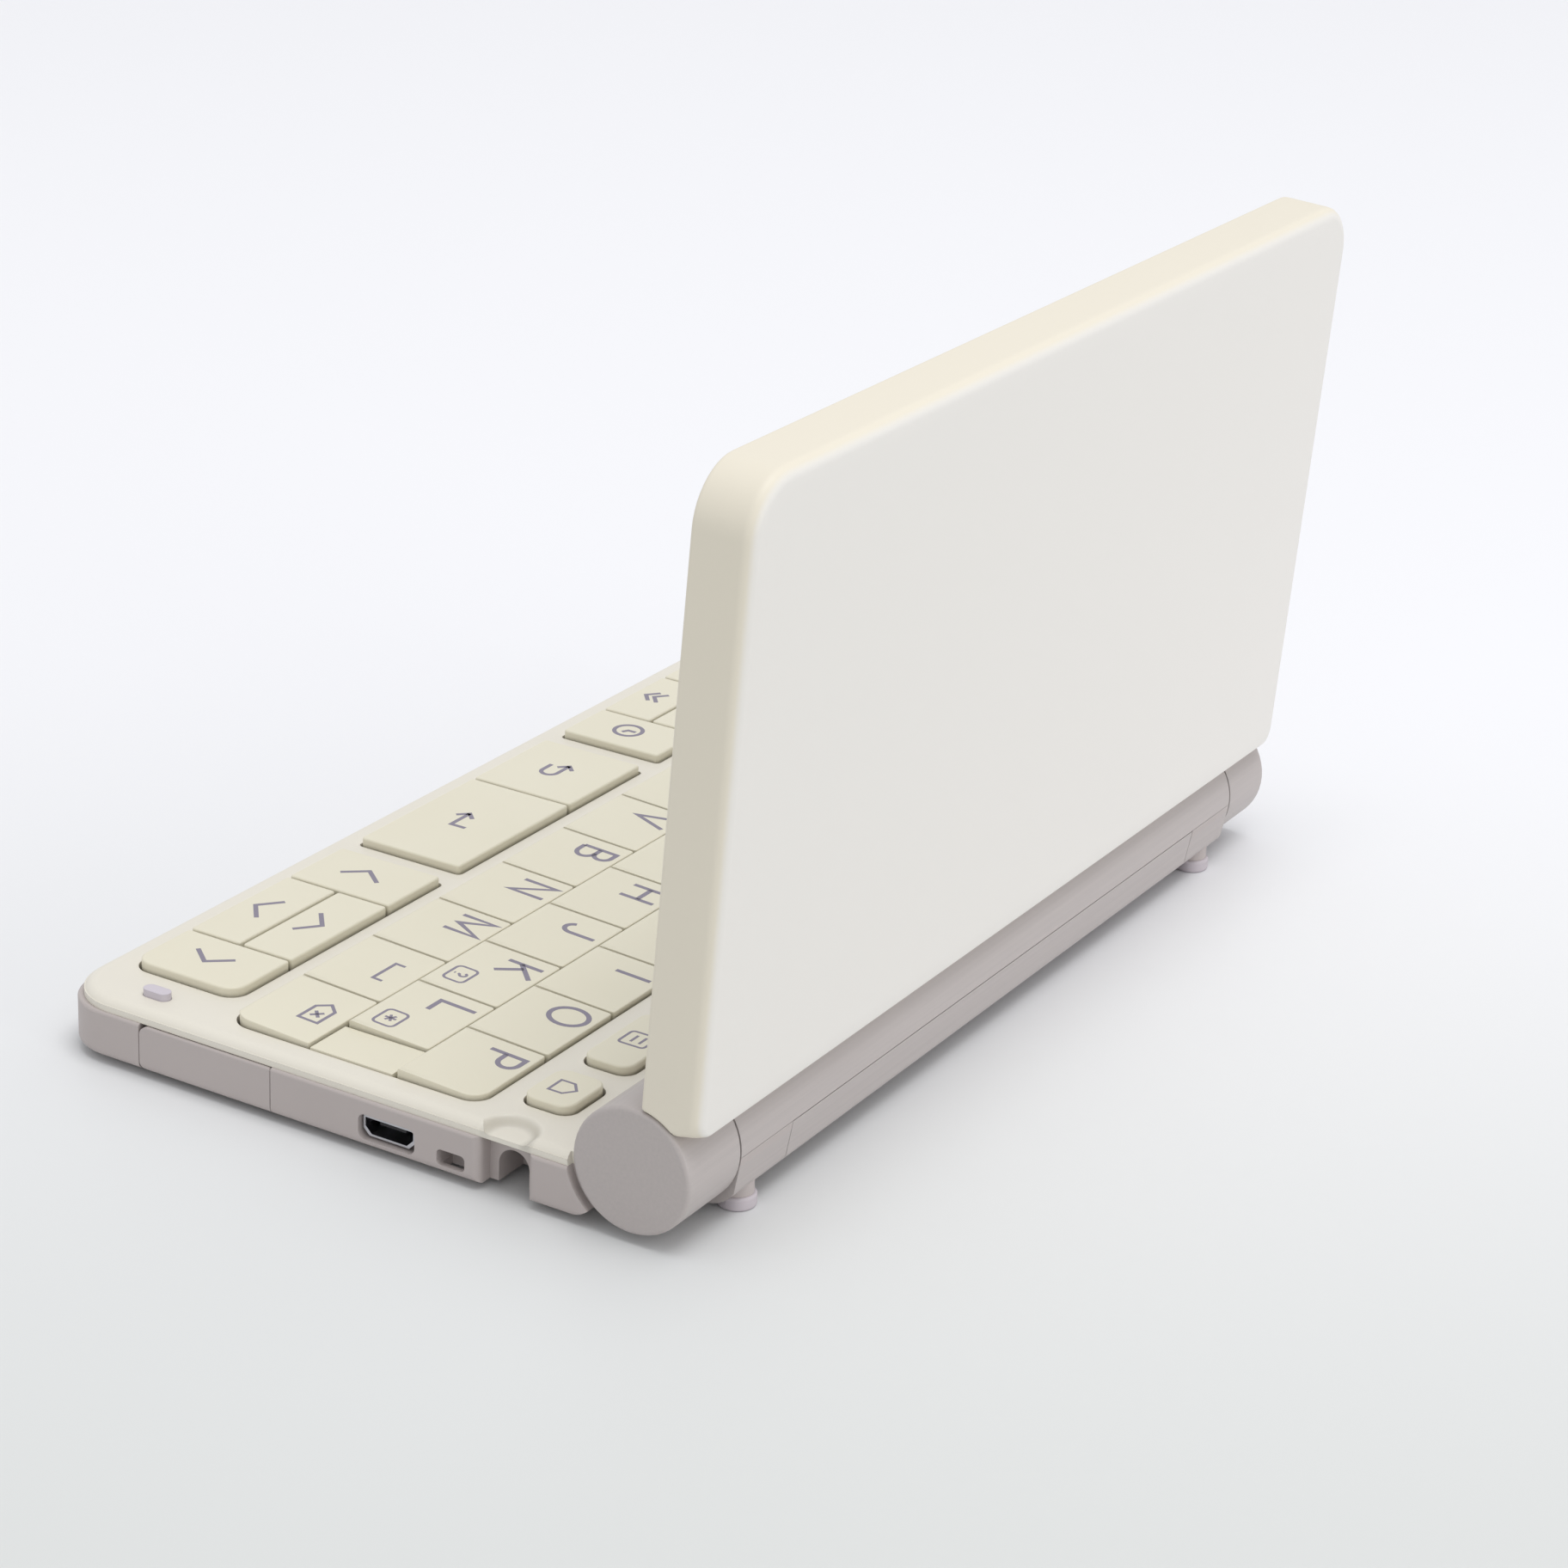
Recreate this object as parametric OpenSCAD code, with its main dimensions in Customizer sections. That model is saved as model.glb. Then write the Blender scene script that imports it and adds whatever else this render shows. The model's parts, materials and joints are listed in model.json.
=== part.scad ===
// Pocket electronic dictionary, clamshell with a barrel hinge.
// X runs to the user's right, Y from the front edge to the hinge, Z up from the table.
// The origin lies on the table, under the middle of the open instrument.

/* [Body] */
// Width of the base and of the lid
body_w = 148.5; // [144:0.5:156]
// Depth of the closed instrument, front edge to the back of the barrel
body_d = 91; // [89:0.5:98]
// Height of the lower case above the table, which is the height of the front feet
foot_h = 0.9; // [0.7:0.1:1.4]
// Height of the parting line between the two base cases above the table
split_z = 7; // [6.8:0.1:7.4]
// Height of the deck above the table
deck_z = 8.6; // [8.4:0.1:9]
// Side wall of the lower case
case_wall = 1.5; // [1.2:0.1:2]
// Floor of the lower case
floor_t = 1.3; // [1:0.1:1.5]
// Radius of the front corners of the base and the far corners of the lid, seen from above
corner_r = 7; // [5:0.5:9]
// How far the deck stands back from the lower case, whose upper edge is rounded as far
deck_inset = 0.4; // [0.2:0.05:0.5]
// Rounding of the deck's outer edge
deck_edge_r = 1.5; // [1:0.1:1.5]
// Rounding of the lower outer edge
bottom_edge_r = 1; // [0.6:0.1:1.4]

/* [Hinge barrel] */
// Outer radius of the barrel
barrel_r = 7.8; // [7.8:0.1:8.4]
// Wall of the barrel
barrel_wall = 0.6; // [0.5:0.05:0.6]
// Height of the hinge axis above the table
axis_z = 9.1; // [9:0.1:9.8]
// Length of each turning end cap
cap_len = 10.6; // [9:0.2:12]
// Gap between a turning piece of the hinge and a fixed one
turn_gap = 0.3; // [0.25:0.05:0.4]
// Radius of the steel hinge pins
pin_r = 2; // [1.6:0.1:2.4]
// Running clearance of a hinge pin in its sleeve
pin_fit = 0.05; // [0.02:0.01:0.08]
// Drop of the barrel's parting line below the axis
barrel_split_drop = 0.6; // [0.5:0.05:0.8]

/* [Lid] */
// Opening angle that the lid is drawn at, from closed
lid_angle = 93.2; // [60:0.2:150]
// Thickness of the lid
lid_t = 7.7; // [7.2:0.1:8.4]
// Distance of the lid's inner rim from the hinge axis
lid_rim = 0.6; // [0.6:0.1:1]
// Distance of the lid's hinge edge from the hinge axis
lid_heel = 7.3; // [7:0.1:7.6]
// How far the closed lid reaches past the front edge of the base
lid_over = 0.4; // [0:0.1:1]
// Wall of the lid's back shell
lid_wall = 1.6; // [1.2:0.1:2]
// Rounding of the lid's back edges
lid_edge_r = 1.5; // [1:0.1:1.6]
// Radius of the lid's corners next to the hinge
lid_heel_r = 3.5; // [3:0.25:4.5]
// Depth of the screen frame below the rim
bezel_drop = 0.9; // [0.7:0.1:1.3]
// Thickness of the screen frame
bezel_t = 1.4; // [1.2:0.1:1.6]
// Width of the screen frame beside the window
frame_side = 12.25; // [11.6:0.05:16]
// Width of the screen frame at the far edge of the lid
frame_far = 4.1; // [3.8:0.1:8]
// Width of the screen frame next to the hinge
frame_near = 5.8; // [5.4:0.1:8]
// Thickness of the screen window
window_t = 1; // [0.8:0.1:1.2]
// Thickness of the display module
display_t = 3.8; // [3:0.1:3.8]

/* [Keyboard] */
// Deck beside the letter keys
key_margin = 4.2; // [4:0.05:7]
// Gap between neighbouring keys
key_gap = 0.3; // [0.25:0.05:0.4]
// Clearance between a key and the edge of its opening in the deck
key_fit = 0.25; // [0.2:0.05:0.35]
// Height of a letter key's front edge above the deck
key_rise = 1.2; // [1:0.05:1.3]
// Drop of a letter key's top from its front edge to its rear edge
key_slope = 0.6; // [0.3:0.05:0.7]
// Height of the front row's flat keys above the deck
front_rise = 1.15; // [0.9:0.05:1.2]
// Height of the keys next to the hinge above the deck
rear_rise = 1.1; // [0.8:0.05:1.2]
// Height of the blank pads above the deck
pad_rise = 0.25; // [0.15:0.05:0.4]
// Travel of the letter and front keys
key_travel = 0.8; // [0.6:0.05:0.8]
// Travel of the keys next to the hinge
rear_travel = 0.6; // [0.4:0.05:0.6]
// Rounding of a letter key's upper front edge
key_front_r = 0.8; // [0.5:0.05:0.9]
// Rounding of the upper edges of the flat keys
key_edge_r = 0.35; // [0.2:0.05:0.35]
// Corner radius of the outer corners at the front of the letter keys
key_big_r = 2.9; // [2.4:0.1:3.2]
// Small corner radius of the keys
key_small_r = 0.4; // [0.3:0.05:0.6]
// Corner radius of the outer corners at the rear of the letter keys and of the front row
key_mid_r = 2.4; // [2:0.1:2.8]
// Corner radius of the keys next to the hinge
key_rear_r = 1.8; // [1.4:0.1:2.2]
// Deck in front of the front key row
front_row_y = 4.55; // [4.4:0.05:5.2]
// Depth of the front key row
front_row_d = 15.8; // [14.4:0.1:16.2]
// Deck between the front row and the letter keys
front_gap = 2.85; // [2.5:0.05:4]
// Deck between the letter keys and the row next to the hinge
rear_gap = 3.25; // [3.2:0.05:4]
// Depth of the key row next to the hinge
rear_row_d = 6.8; // [6.4:0.1:7.2]
// Deck between the rear key row and the barrel
rear_margin = 5.55; // [5.2:0.05:6]

/* [Side features] */
// Front edge of the card door, from the front of the base
door_y = 13.2; // [12:0.2:14]
// Length of the card door
door_len = 19.6; // [18:0.2:20.6]
// Thickness of the card door
door_t = 1.2; // [1:0.1:1.2]
// Distance of the charging socket's centre from the strap slot's centre
usb_step = 9.1; // [8.6:0.1:9.6]
// Height of the charging socket's centre above the table
usb_z = 3.5; // [3.2:0.1:3.8]
// Width of the socket's metal shell
usb_w = 7.4; // [7.2:0.1:7.6]
// Height of the socket's metal shell
usb_h = 2.6; // [2.5:0.1:2.8]
// Distance of the strap slot's centre from the pen notch's centre
strap_step = 7.2; // [7:0.1:7.8]
// Distance of the pen notch's centre from the barrel
notch_step = 9.4; // [9:0.1:9.6]
// Width of the pen notch along the side
notch_w = 6.6; // [6:0.1:6.8]
// Depth of the pen notch into the side
notch_depth = 2.4; // [2:0.1:2.8]
// Radius of the pen holder's bore
pen_r = 2.1; // [1.9:0.05:2.2]
// Length of the pen holder's bore
pen_len = 78; // [60:1:82]
// Height of the pen holder's axis above the table
pen_z = 3.3; // [3.2:0.1:3.5]

/* [Inner pieces] */
// Thickness of the circuit board
board_t = 0.8; // [0.6:0.1:1]
// Height of the free space under the circuit board
board_lift = 1.2; // [1.1:0.1:1.3]
// Thickness of the key mat's sheet
mat_t = 0.5; // [0.4:0.1:0.6]
// Radius of a battery cell
cell_r = 7; // [6.9:0.05:7]
// Length of a battery cell without its tip
cell_len = 49; // [46:0.5:49.5]
// How far the battery cover reaches past the end of a cell
cover_over = 3; // [2.8:0.1:3.4]

/* [Hidden] */
$fn = 64;
eps = 0.01;
big = 200;
half_w = body_w / 2;
case_h = split_z - foot_h;
floor_z = foot_h + floor_t;
axis_y = body_d - barrel_r;
// the deck ends here, at the front of the barrel
deck_end = axis_y - barrel_r;
bore_r = barrel_r - barrel_wall;
groove_r = barrel_r + turn_gap;
// the deck and the cases seat against the fixed barrel with this gap
seat_gap = 0.1;
// the block at each end of the base runs this far under the barrel
block_y = axis_y - 3.4;
block_r = 6;
// radius and width of the cove that frames the barrel's end discs
cove_r = groove_r + 0.7;
cove_w = 1.3;
cap_x = half_w - cap_len;
barrel_half = cap_x - turn_gap;
barrel_split_z = axis_z - barrel_split_drop;
cap_edge_r = 0.5;
// the battery chamber reaches this far from the middle, the sleeves start past it
cover_half = cell_len + cover_over;
sleeve_start = cell_len + 5.35;
sleeve_len = barrel_half - sleeve_start;
pin_in = sleeve_len - 2;
pin_out = 6.5;
lid_out = lid_rim + lid_t;
lid_reach = axis_y + lid_over;
lid_inner_r = 0.5;
lid_back_t = 1.2;
// the lid's rearmost point when it stands open
lid_far_y = axis_y - cos(lid_angle) * (lid_reach - lid_edge_r)
    + sin(lid_angle) * (lid_out - lid_edge_r) + lid_edge_r;
origin_y = lid_far_y / 2;
bezel_in = lid_rim + bezel_drop;
bezel_out = bezel_in + bezel_t;
window_w = body_w - 2 * frame_side;
window_h = lid_reach - lid_heel - frame_far - frame_near;
window_mid = -(lid_reach - frame_far + lid_heel + frame_near) / 2;
window_gap = 0.2;
display_rim = 2;
window_r = 1.5;
lug_w = 5.6;
lug_from = bezel_out - lid_rim + 0.1;
lug_to = 4.4;
lug_reach = 14;
board_z = floor_z + board_lift;
mat_z = board_z + board_t;
// the keyboard's places across and along the deck
key_pitch = (body_w - 2 * key_margin) / 10;
front_row_end = front_row_y + front_row_d;
letters_y = front_row_end + front_gap;
rear_row_end = deck_end - rear_margin;
rear_row_y = rear_row_end - rear_row_d;
letters_end = rear_row_y - rear_gap;
row_pitch = (letters_end - letters_y) / 3;
letters_half = 5 * key_pitch;
notch_y = deck_end - notch_step;
strap_y = notch_y - strap_step;
usb_y = strap_y - usb_step;
board_y0 = front_row_y + 0.1;
board_y1 = letters_end + 0.2;
board_half = half_w - 4.25;
mat_half = letters_half - 2.45;
dome_r = 2.4;
dome_gap = 0.1;
// keys next to the hinge: right and left edge of the first, then the wide ones
rear_key_w = 8.5;
rear_key_right = letters_half - 3.35;
rear_key_x = [rear_key_right, rear_key_right - rear_key_w];
wide_key_w = key_pitch + 0.4;
wide_key_step = wide_key_w + 3.9;
wide_key_x = letters_half - 15.72;
// dish for the fingertip: radius of its flat floor, depth, radius of the curve beside the floor
scoop_r = 2.4;
scoop_depth = 1;
scoop_cove_r = 0.9;
boss_r = 1.6;
seat_r = 2;
screw_r = 0.8;
screw_head_r = 1.4;
screw_head_t = 0.8;
screw_x = half_w - 12.25;
screw_y = front_row_y - 1.9;
rear_screw_x = (rear_key_x[1] + wide_key_x) / 2;
rear_screw_y = letters_end + 2.3;
screw_spots = [[-screw_x, screw_y], [screw_x, screw_y],
    [-rear_screw_x, rear_screw_y], [rear_screw_x, rear_screw_y]];
deck_t = deck_z - split_z;
deck_round = min(deck_edge_r, deck_t - 0.1);
deck_side = half_w - deck_inset;
// the deck's front corners are a little rounder than the case's
deck_corner_r = corner_r + 0.5;
lip_t = 0.8;
lip_drop = 0.7;
// keys reach this far below the deck's top
key_root_z = mat_z + mat_t + 1.4;
dome_top_z = key_root_z - key_travel - dome_gap;
key_top_z = deck_z + key_rise;
// plan of the arrow keys, the entry keys and the keys at the left end, right to left,
// each edge in key pitches from the middle
arrow_x = on_grid([4.643, 3.851, 2.434, 1.613]);
entry_x = on_grid([1.353, -0.471, -1.724]);
tool_x = on_grid([-2.006, -2.745, -3.862, -4.643]);
nub_len = 3.8;
nub_w = 1.8;
nub_rise = 0.9;
nub_sink = 0.5;
nub_x = half_w - 4.75;
nub_y = front_row_y + front_row_d / 2 - 0.25;
pad_foot_w = 10;
pad_foot_d = 5;
pad_foot_x = half_w - 17.25;
pad_foot_y = front_row_y + 3.7;
foot_sink = 0.3;
// the rear feet stand on the barrel's land beside the battery cover
rear_foot_x = cover_half + 0.617 * (barrel_half - cover_half);
rear_foot_y = axis_y + 4.8;
rear_foot_r = 2.35;
foot_edge_r = 0.35;
collar_r = 2;
collar_z = 1.7;
door_gap = 0.1;
door_r = 1.3;
card_side = 2.5;
card_len = 15;
usb_fit = 0.3;
usb_r = 0.9;
usb_len = 5.4;
usb_wall = 0.3;
usb_deep = 0.6 + usb_len + 0.3;
strap_w = 3.9;
strap_h = 2;
strap_z = 2.9;
strap_deep = 2.8;
notch_wall = 1.5;
notch_edge_r = 1;
pen_x = half_w - notch_depth;
pen_mouth = 5;
pen_wall = 0.4;
shelf_z = pen_z + pen_r + pen_wall;
shelf_x0 = pen_x - pen_len - 10.35;
strip_t = 0.2;
// the keys next to the hinge reach down to their travel above the strip on the shelves
rear_root_z = shelf_z + strip_t + rear_travel + dome_gap;
grille_x = -2.57 * key_pitch;
grille_y = (rear_row_y + rear_row_end) / 2;
grille_slots = 9;
grille_step = 2.4;
grille_slot_w = 1.1;
grille_slot_h = 4.6;
speaker_r = 6.2;
speaker_h = 3;
contact_t = 0.3;

CREAM = "#E9E5D8";
WHITE = "#E6E5E1";
MAUVE = "#B5AEAD";
KEY = "#E2DDC2";

// key corner radii, counter-clockwise from the front left corner
PLAIN = [key_small_r, key_small_r, key_small_r, key_small_r];
LETTERS_PLAN = [key_big_r, key_big_r, key_mid_r, key_mid_r];

function swap(list, i, v) = [for (k = [0 : len(list) - 1]) k == i ? v : list[k]];

// places that many key pitches from the middle, to the nearest twentieth of a millimetre
function on_grid(shares) = [for (v = shares) round(v * key_pitch * 20) / 20];

// left edge of key number i in letter row 0 (rear), 1 (middle) or 2 (front)
function letter_x(row, i) = -letters_half + (row == 1 ? key_pitch / 2 : 0) + i * key_pitch;

// front edge of a letter row
function row_y(row) = letters_y + (2 - row) * row_pitch;

// plan of one letter key: [left, right, front, rear, corner radii]
function letter(row, i, corners = PLAIN) = [
    letter_x(row, i) + key_gap / 2, letter_x(row, i + 1) - key_gap / 2,
    row_y(row) + key_gap / 2, row_y(row) + row_pitch - key_gap / 2, corners];

// plan of a key between two places across a row that runs from y0 to y1
function row_key(left, right, y0, y1, corners = PLAIN) = [
    left + key_gap / 2, right - key_gap / 2, y0, y1, corners];

function front_key(xs, i, corners = PLAIN) =
    row_key(xs[i + 1], xs[i], front_row_y, front_row_end, corners);

split_y = front_row_y + front_row_d / 2;
soft_corner = 0.5;

// letter keys: [node, plans of its keys]
LETTER_KEYS = [
    ["keys_q_w_e", [letter(0, 0, swap(PLAIN, 3, key_mid_r)), letter(0, 1), letter(0, 2)]],
    ["keys_r_t_y", [letter(0, 3), letter(0, 4), letter(0, 5)]],
    ["key_u", [letter(0, 6)]],
    ["key_i", [letter(0, 7)]],
    ["key_o", [letter(0, 8)]],
    ["key_p", [letter(0, 9, swap(PLAIN, 2, key_mid_r))]],
    ["keys_a_s", [letter(1, 0), letter(1, 1)]],
    ["keys_d_f_g", [letter(1, 2), letter(1, 3), letter(1, 4)]],
    ["key_h", [letter(1, 5)]],
    ["key_j", [letter(1, 6)]],
    ["key_k", [letter(1, 7)]],
    ["key_l", [letter(1, 8)]],
    ["keys_shift_z", [letter(2, 0, swap(PLAIN, 0, key_big_r)), letter(2, 1)]],
    ["keys_x_c", [letter(2, 2), letter(2, 3)]],
    ["key_v", [letter(2, 4)]],
    ["key_b", [letter(2, 5)]],
    ["key_n", [letter(2, 6)]],
    ["key_m", [letter(2, 7)]],
    ["key_space", [letter(2, 8)]],
    ["key_delete", [letter(2, 9, swap(PLAIN, 1, key_big_r))]]];

// flat keys of the front row
FRONT_KEYS = [
    ["key_right", [front_key(arrow_x, 0, [key_small_r, key_mid_r, key_mid_r, key_small_r])]],
    ["key_up", [row_key(arrow_x[2], arrow_x[1], split_y + key_gap / 2, front_row_end)]],
    ["key_down", [row_key(arrow_x[2], arrow_x[1], front_row_y, split_y - key_gap / 2)]],
    ["key_left", [front_key(arrow_x, 2, [soft_corner, key_small_r, key_small_r, soft_corner])]],
    ["key_enter", [front_key(entry_x, 0, [key_small_r, soft_corner, soft_corner, key_small_r])]],
    ["key_back", [front_key(entry_x, 1, [soft_corner, key_small_r, key_small_r, soft_corner])]],
    ["key_history", [front_key(tool_x, 0, [key_small_r, soft_corner, soft_corner, key_small_r])]],
    ["key_page_up", [row_key(tool_x[2], tool_x[1], split_y + key_gap / 2, front_row_end)]],
    ["key_page_down", [row_key(tool_x[2], tool_x[1], front_row_y, split_y - key_gap / 2)]],
    ["key_mark", [front_key(tool_x, 2, [key_mid_r, key_small_r, key_small_r, key_mid_r])]]];

// rounded keys next to the hinge, each in an opening of its own
function rear_key(right, w) = [right - w, right, rear_row_y, rear_row_end,
    [key_rear_r, key_rear_r, key_rear_r, key_rear_r]];
REAR_KEYS = [
    ["key_home", [rear_key(rear_key_x[0], rear_key_x[0] - rear_key_x[1])]],
    ["key_notebook", [rear_key(wide_key_x, wide_key_w)]],
    ["key_library", [rear_key(wide_key_x - wide_key_step, wide_key_w)]],
    ["key_jump", [rear_key(wide_key_x - 2 * wide_key_step, wide_key_w)]],
    ["key_search", [rear_key(wide_key_x - 3 * wide_key_step, wide_key_w)]],
    ["key_power", [rear_key(-rear_key_x[1], rear_key_x[0] - rear_key_x[1])]]];

// ---------- shared shapes ----------

// Moves the instrument so that the origin lies under its middle
module at_origin() translate([0, -origin_y, 0]) children();

// A piece of the lid, drawn with the hinge axis along X and the lid reaching towards -Y
module on_lid() at_origin() translate([0, axis_y, axis_z]) rotate([-lid_angle, 0, 0]) children();

// A cylinder along X from x0 to x1 about the hinge axis
module along_axis(x0, x1, r)
    translate([x0, axis_y, axis_z]) rotate([0, 90, 0]) cylinder(h = x1 - x0, r = r);

// Both ends of the instrument
module both_ends() {
    children();
    mirror([1, 0, 0]) children();
}

// Rectangle with its own radius at each corner, counter-clockwise from the front left
module round_rect(x0, x1, y0, y1, r) {
    polygon([[x0 + r[0], y0], [x1 - r[1], y0], [x1, y0 + r[1]], [x1, y1 - r[2]],
        [x1 - r[2], y1], [x0 + r[3], y1], [x0, y1 - r[3]], [x0, y0 + r[0]]]);
    translate([x0 + r[0], y0 + r[0]]) circle(r[0]);
    translate([x1 - r[1], y0 + r[1]]) circle(r[1]);
    translate([x1 - r[2], y1 - r[2]]) circle(r[2]);
    translate([x0 + r[3], y1 - r[3]]) circle(r[3]);
}

// Section of a plate's rim, m wide and h high, rounded at its upper or lower outer edge
module rim_section(m, h, top_r, low_r) intersection() {
    square([m, h]);
    union() {
        translate([-m, low_r]) square([2 * m, h - top_r - low_r]);
        translate([-m, h / 2]) square([2 * m - top_r, h / 2]);
        translate([-m, 0]) square([2 * m - low_r, h / 2]);
        if (top_r > 0) translate([m - top_r, h - top_r]) circle(top_r);
        if (low_r > 0) translate([m - low_r, low_r]) circle(low_r);
    }
}

// Straight stretch of rim: starts at p, faces outwards at angle a, runs len to its right
module rim_run(p, a, len, m, h, top_r, low_r)
    translate([p[0], p[1], 0]) rotate([0, 0, a]) rotate([90, 0, 0])
        linear_extrude(len) rim_section(m, h, top_r, low_r);

module rim_corner(p, a, r, m, h, top_r, low_r)
    translate([p[0], p[1], 0]) rotate([0, 0, a]) rotate_extrude(angle = 90)
        translate([r - m, 0]) rim_section(m, h, top_r, low_r);

// Plate with rounded corners and a rounded upper or lower edge
module soft_plate(x0, x1, y0, y1, r, h, top_r, low_r) {
    m = max(top_r, low_r);
    ri = [for (v = r) v - m];
    linear_extrude(h) round_rect(x0 + m, x1 - m, y0 + m, y1 - m, ri);
    rim_run([x1 - m, y1 - r[2]], 0, y1 - r[2] - y0 - r[1], m, h, top_r, low_r);
    rim_run([x0 + r[3], y1 - m], 90, x1 - r[2] - x0 - r[3], m, h, top_r, low_r);
    rim_run([x0 + m, y0 + r[0]], 180, y1 - r[3] - y0 - r[0], m, h, top_r, low_r);
    rim_run([x1 - r[1], y0 + m], 270, x1 - r[1] - x0 - r[0], m, h, top_r, low_r);
    rim_corner([x1 - r[2], y1 - r[2]], 0, r[2], m, h, top_r, low_r);
    rim_corner([x0 + r[3], y1 - r[3]], 90, r[3], m, h, top_r, low_r);
    rim_corner([x0 + r[0], y0 + r[0]], 180, r[0], m, h, top_r, low_r);
    rim_corner([x1 - r[1], y0 + r[1]], 270, r[1], m, h, top_r, low_r);
}

// ---------- base ----------

// Outer form of the lower case, without its barrel
module lower_form()
    translate([0, 0, foot_h]) soft_plate(-half_w, half_w, 0, block_y,
        [corner_r, corner_r, 1.6, 1.6], case_h, deck_inset, bottom_edge_r);

// Pen notch, cut up through the side of the lower case, with rounded outer edges
module notch_plan() {
    edge = half_w - notch_edge_r;
    translate([pen_x, notch_y - notch_w / 2]) square([notch_depth + 1, notch_w]);
    for (s = [-1, 1]) difference() {
        translate([edge, notch_y + s * notch_w / 2 - (s < 0 ? notch_edge_r : 0)])
            square([notch_edge_r + 1, notch_edge_r]);
        translate([edge, notch_y + s * (notch_w / 2 + notch_edge_r)]) circle(notch_edge_r);
    }
}

// Holder of the pen: bore, open trough under its mouth, and the notch in front of it
module pen_cuts() {
    translate([pen_x - pen_len, notch_y, pen_z]) rotate([0, 90, 0])
        cylinder(h = pen_len + eps, r = pen_r);
    translate([pen_x - pen_mouth, notch_y - pen_r, 0]) cube([pen_mouth + eps, 2 * pen_r, pen_z]);
    translate([0, 0, -eps]) linear_extrude(split_z + 2 * eps) notch_plan();
}

// Rear underside of an end block: everything outside a quarter round
module block_relief() difference() {
    translate([barrel_half, block_y - block_r, 0]) cube([big, block_r + 1, foot_h + block_r]);
    translate([barrel_half - 1, block_y - block_r, foot_h + block_r]) rotate([0, 90, 0])
        cylinder(h = big, r = block_r);
}

// Slot through the side wall with rounded corners, facing +X
module side_slot(y, z, w, h, r, depth)
    translate([half_w - depth, y, z]) rotate([90, 0, 90])
        linear_extrude(depth + 1) round_rect(-w / 2, w / 2, -h / 2, h / 2, [r, r, r, r]);

module base_bottom_case() color(MAUVE) at_origin() difference() {
    union() {
        difference() {
            lower_form();
            translate([0, 0, floor_z]) linear_extrude(case_h)
                round_rect(-half_w + case_wall, half_w - case_wall, case_wall,
                    axis_y - barrel_r - seat_gap, [for (c = [1 : 4]) corner_r - case_wall]);
        }
        along_axis(-barrel_half, barrel_half, barrel_r);
        // housing of the pen notch and the pen holder's tunnel
        translate([pen_x - notch_wall, notch_y - notch_w / 2 - notch_wall, foot_h + bottom_edge_r])
            cube([notch_wall + notch_depth - bottom_edge_r, notch_w + 2 * notch_wall,
                case_h - bottom_edge_r]);
        translate([shelf_x0, notch_y - pen_r - pen_wall, foot_h])
            cube([pen_x - 1 - shelf_x0, 2 * (pen_r + pen_wall), shelf_z - foot_h]);
        // shelf under the power key
        translate([-rear_key_x[0], rear_row_y, floor_z - eps])
            cube([rear_key_x[0] - rear_key_x[1], rear_row_d, shelf_z - floor_z + eps]);
        // solid lug that the strap loops round
        translate([half_w - case_wall - strap_deep, strap_y - strap_w / 2 - 1, floor_z - eps])
            cube([strap_deep + eps, strap_w + 2, 3]);
        // screw bosses and the seats under the circuit board
        for (p = screw_spots) translate([p[0], p[1], floor_z - eps])
            cylinder(h = split_z - floor_z + eps, r = boss_r);
        for (x = [-3, 0, 2], y = [front_row_end - 6, letters_end - 8])
            translate([x * key_pitch, y, floor_z - eps])
                cylinder(h = board_lift + eps, r = seat_r);
        // collars of the rear feet
        both_ends() translate([rear_foot_x, rear_foot_y, collar_z])
            cylinder(h = 4, r = collar_r);
    }
    along_axis(-barrel_half - 1, barrel_half + 1, bore_r);
    // upper half of the barrel and the battery opening
    translate([-big / 2, block_y - block_r - 5, barrel_split_z]) cube([big, 30, 20]);
    translate([-cover_half - door_gap, axis_y - 1 - door_gap, -1])
        cube([2 * (cover_half + door_gap), 20, axis_z + 1]);
    translate([-big / 2, 0, split_z]) cube([big, axis_y - barrel_r, 20]);
    both_ends() {
        along_axis(barrel_half + eps, half_w + 1, groove_r);
        along_axis(half_w - cove_w, half_w + 1, cove_r);
        block_relief();
    }
    pen_cuts();
    // door of the card slot
    translate([half_w - case_wall - eps, door_y - door_gap, 0])
        cube([case_wall + 1, door_len + 2 * door_gap, split_z + 1]);
    side_slot(usb_y, usb_z, usb_w + 2 * usb_fit, usb_h + 2 * usb_fit, usb_r, usb_deep);
    side_slot(strap_y, strap_z, strap_w, strap_h, 0.6, strap_deep);
    translate([half_w - strap_deep, strap_y - strap_w / 2 + 0.3, 0])
        cube([strap_h, strap_w - 0.6, strap_z]);
    for (p = screw_spots) translate([p[0], p[1], 0]) {
        cylinder(h = split_z + 1, r = screw_r + 0.1);
        cylinder(h = foot_h + screw_head_t, r = screw_head_r + 0.1);
    }
    for (x = [-pad_foot_x, pad_foot_x]) translate([x - pad_foot_w / 2, pad_foot_y - pad_foot_d / 2,
        foot_h - 1]) cube([pad_foot_w, pad_foot_d, 1 + foot_sink]);
}

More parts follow.
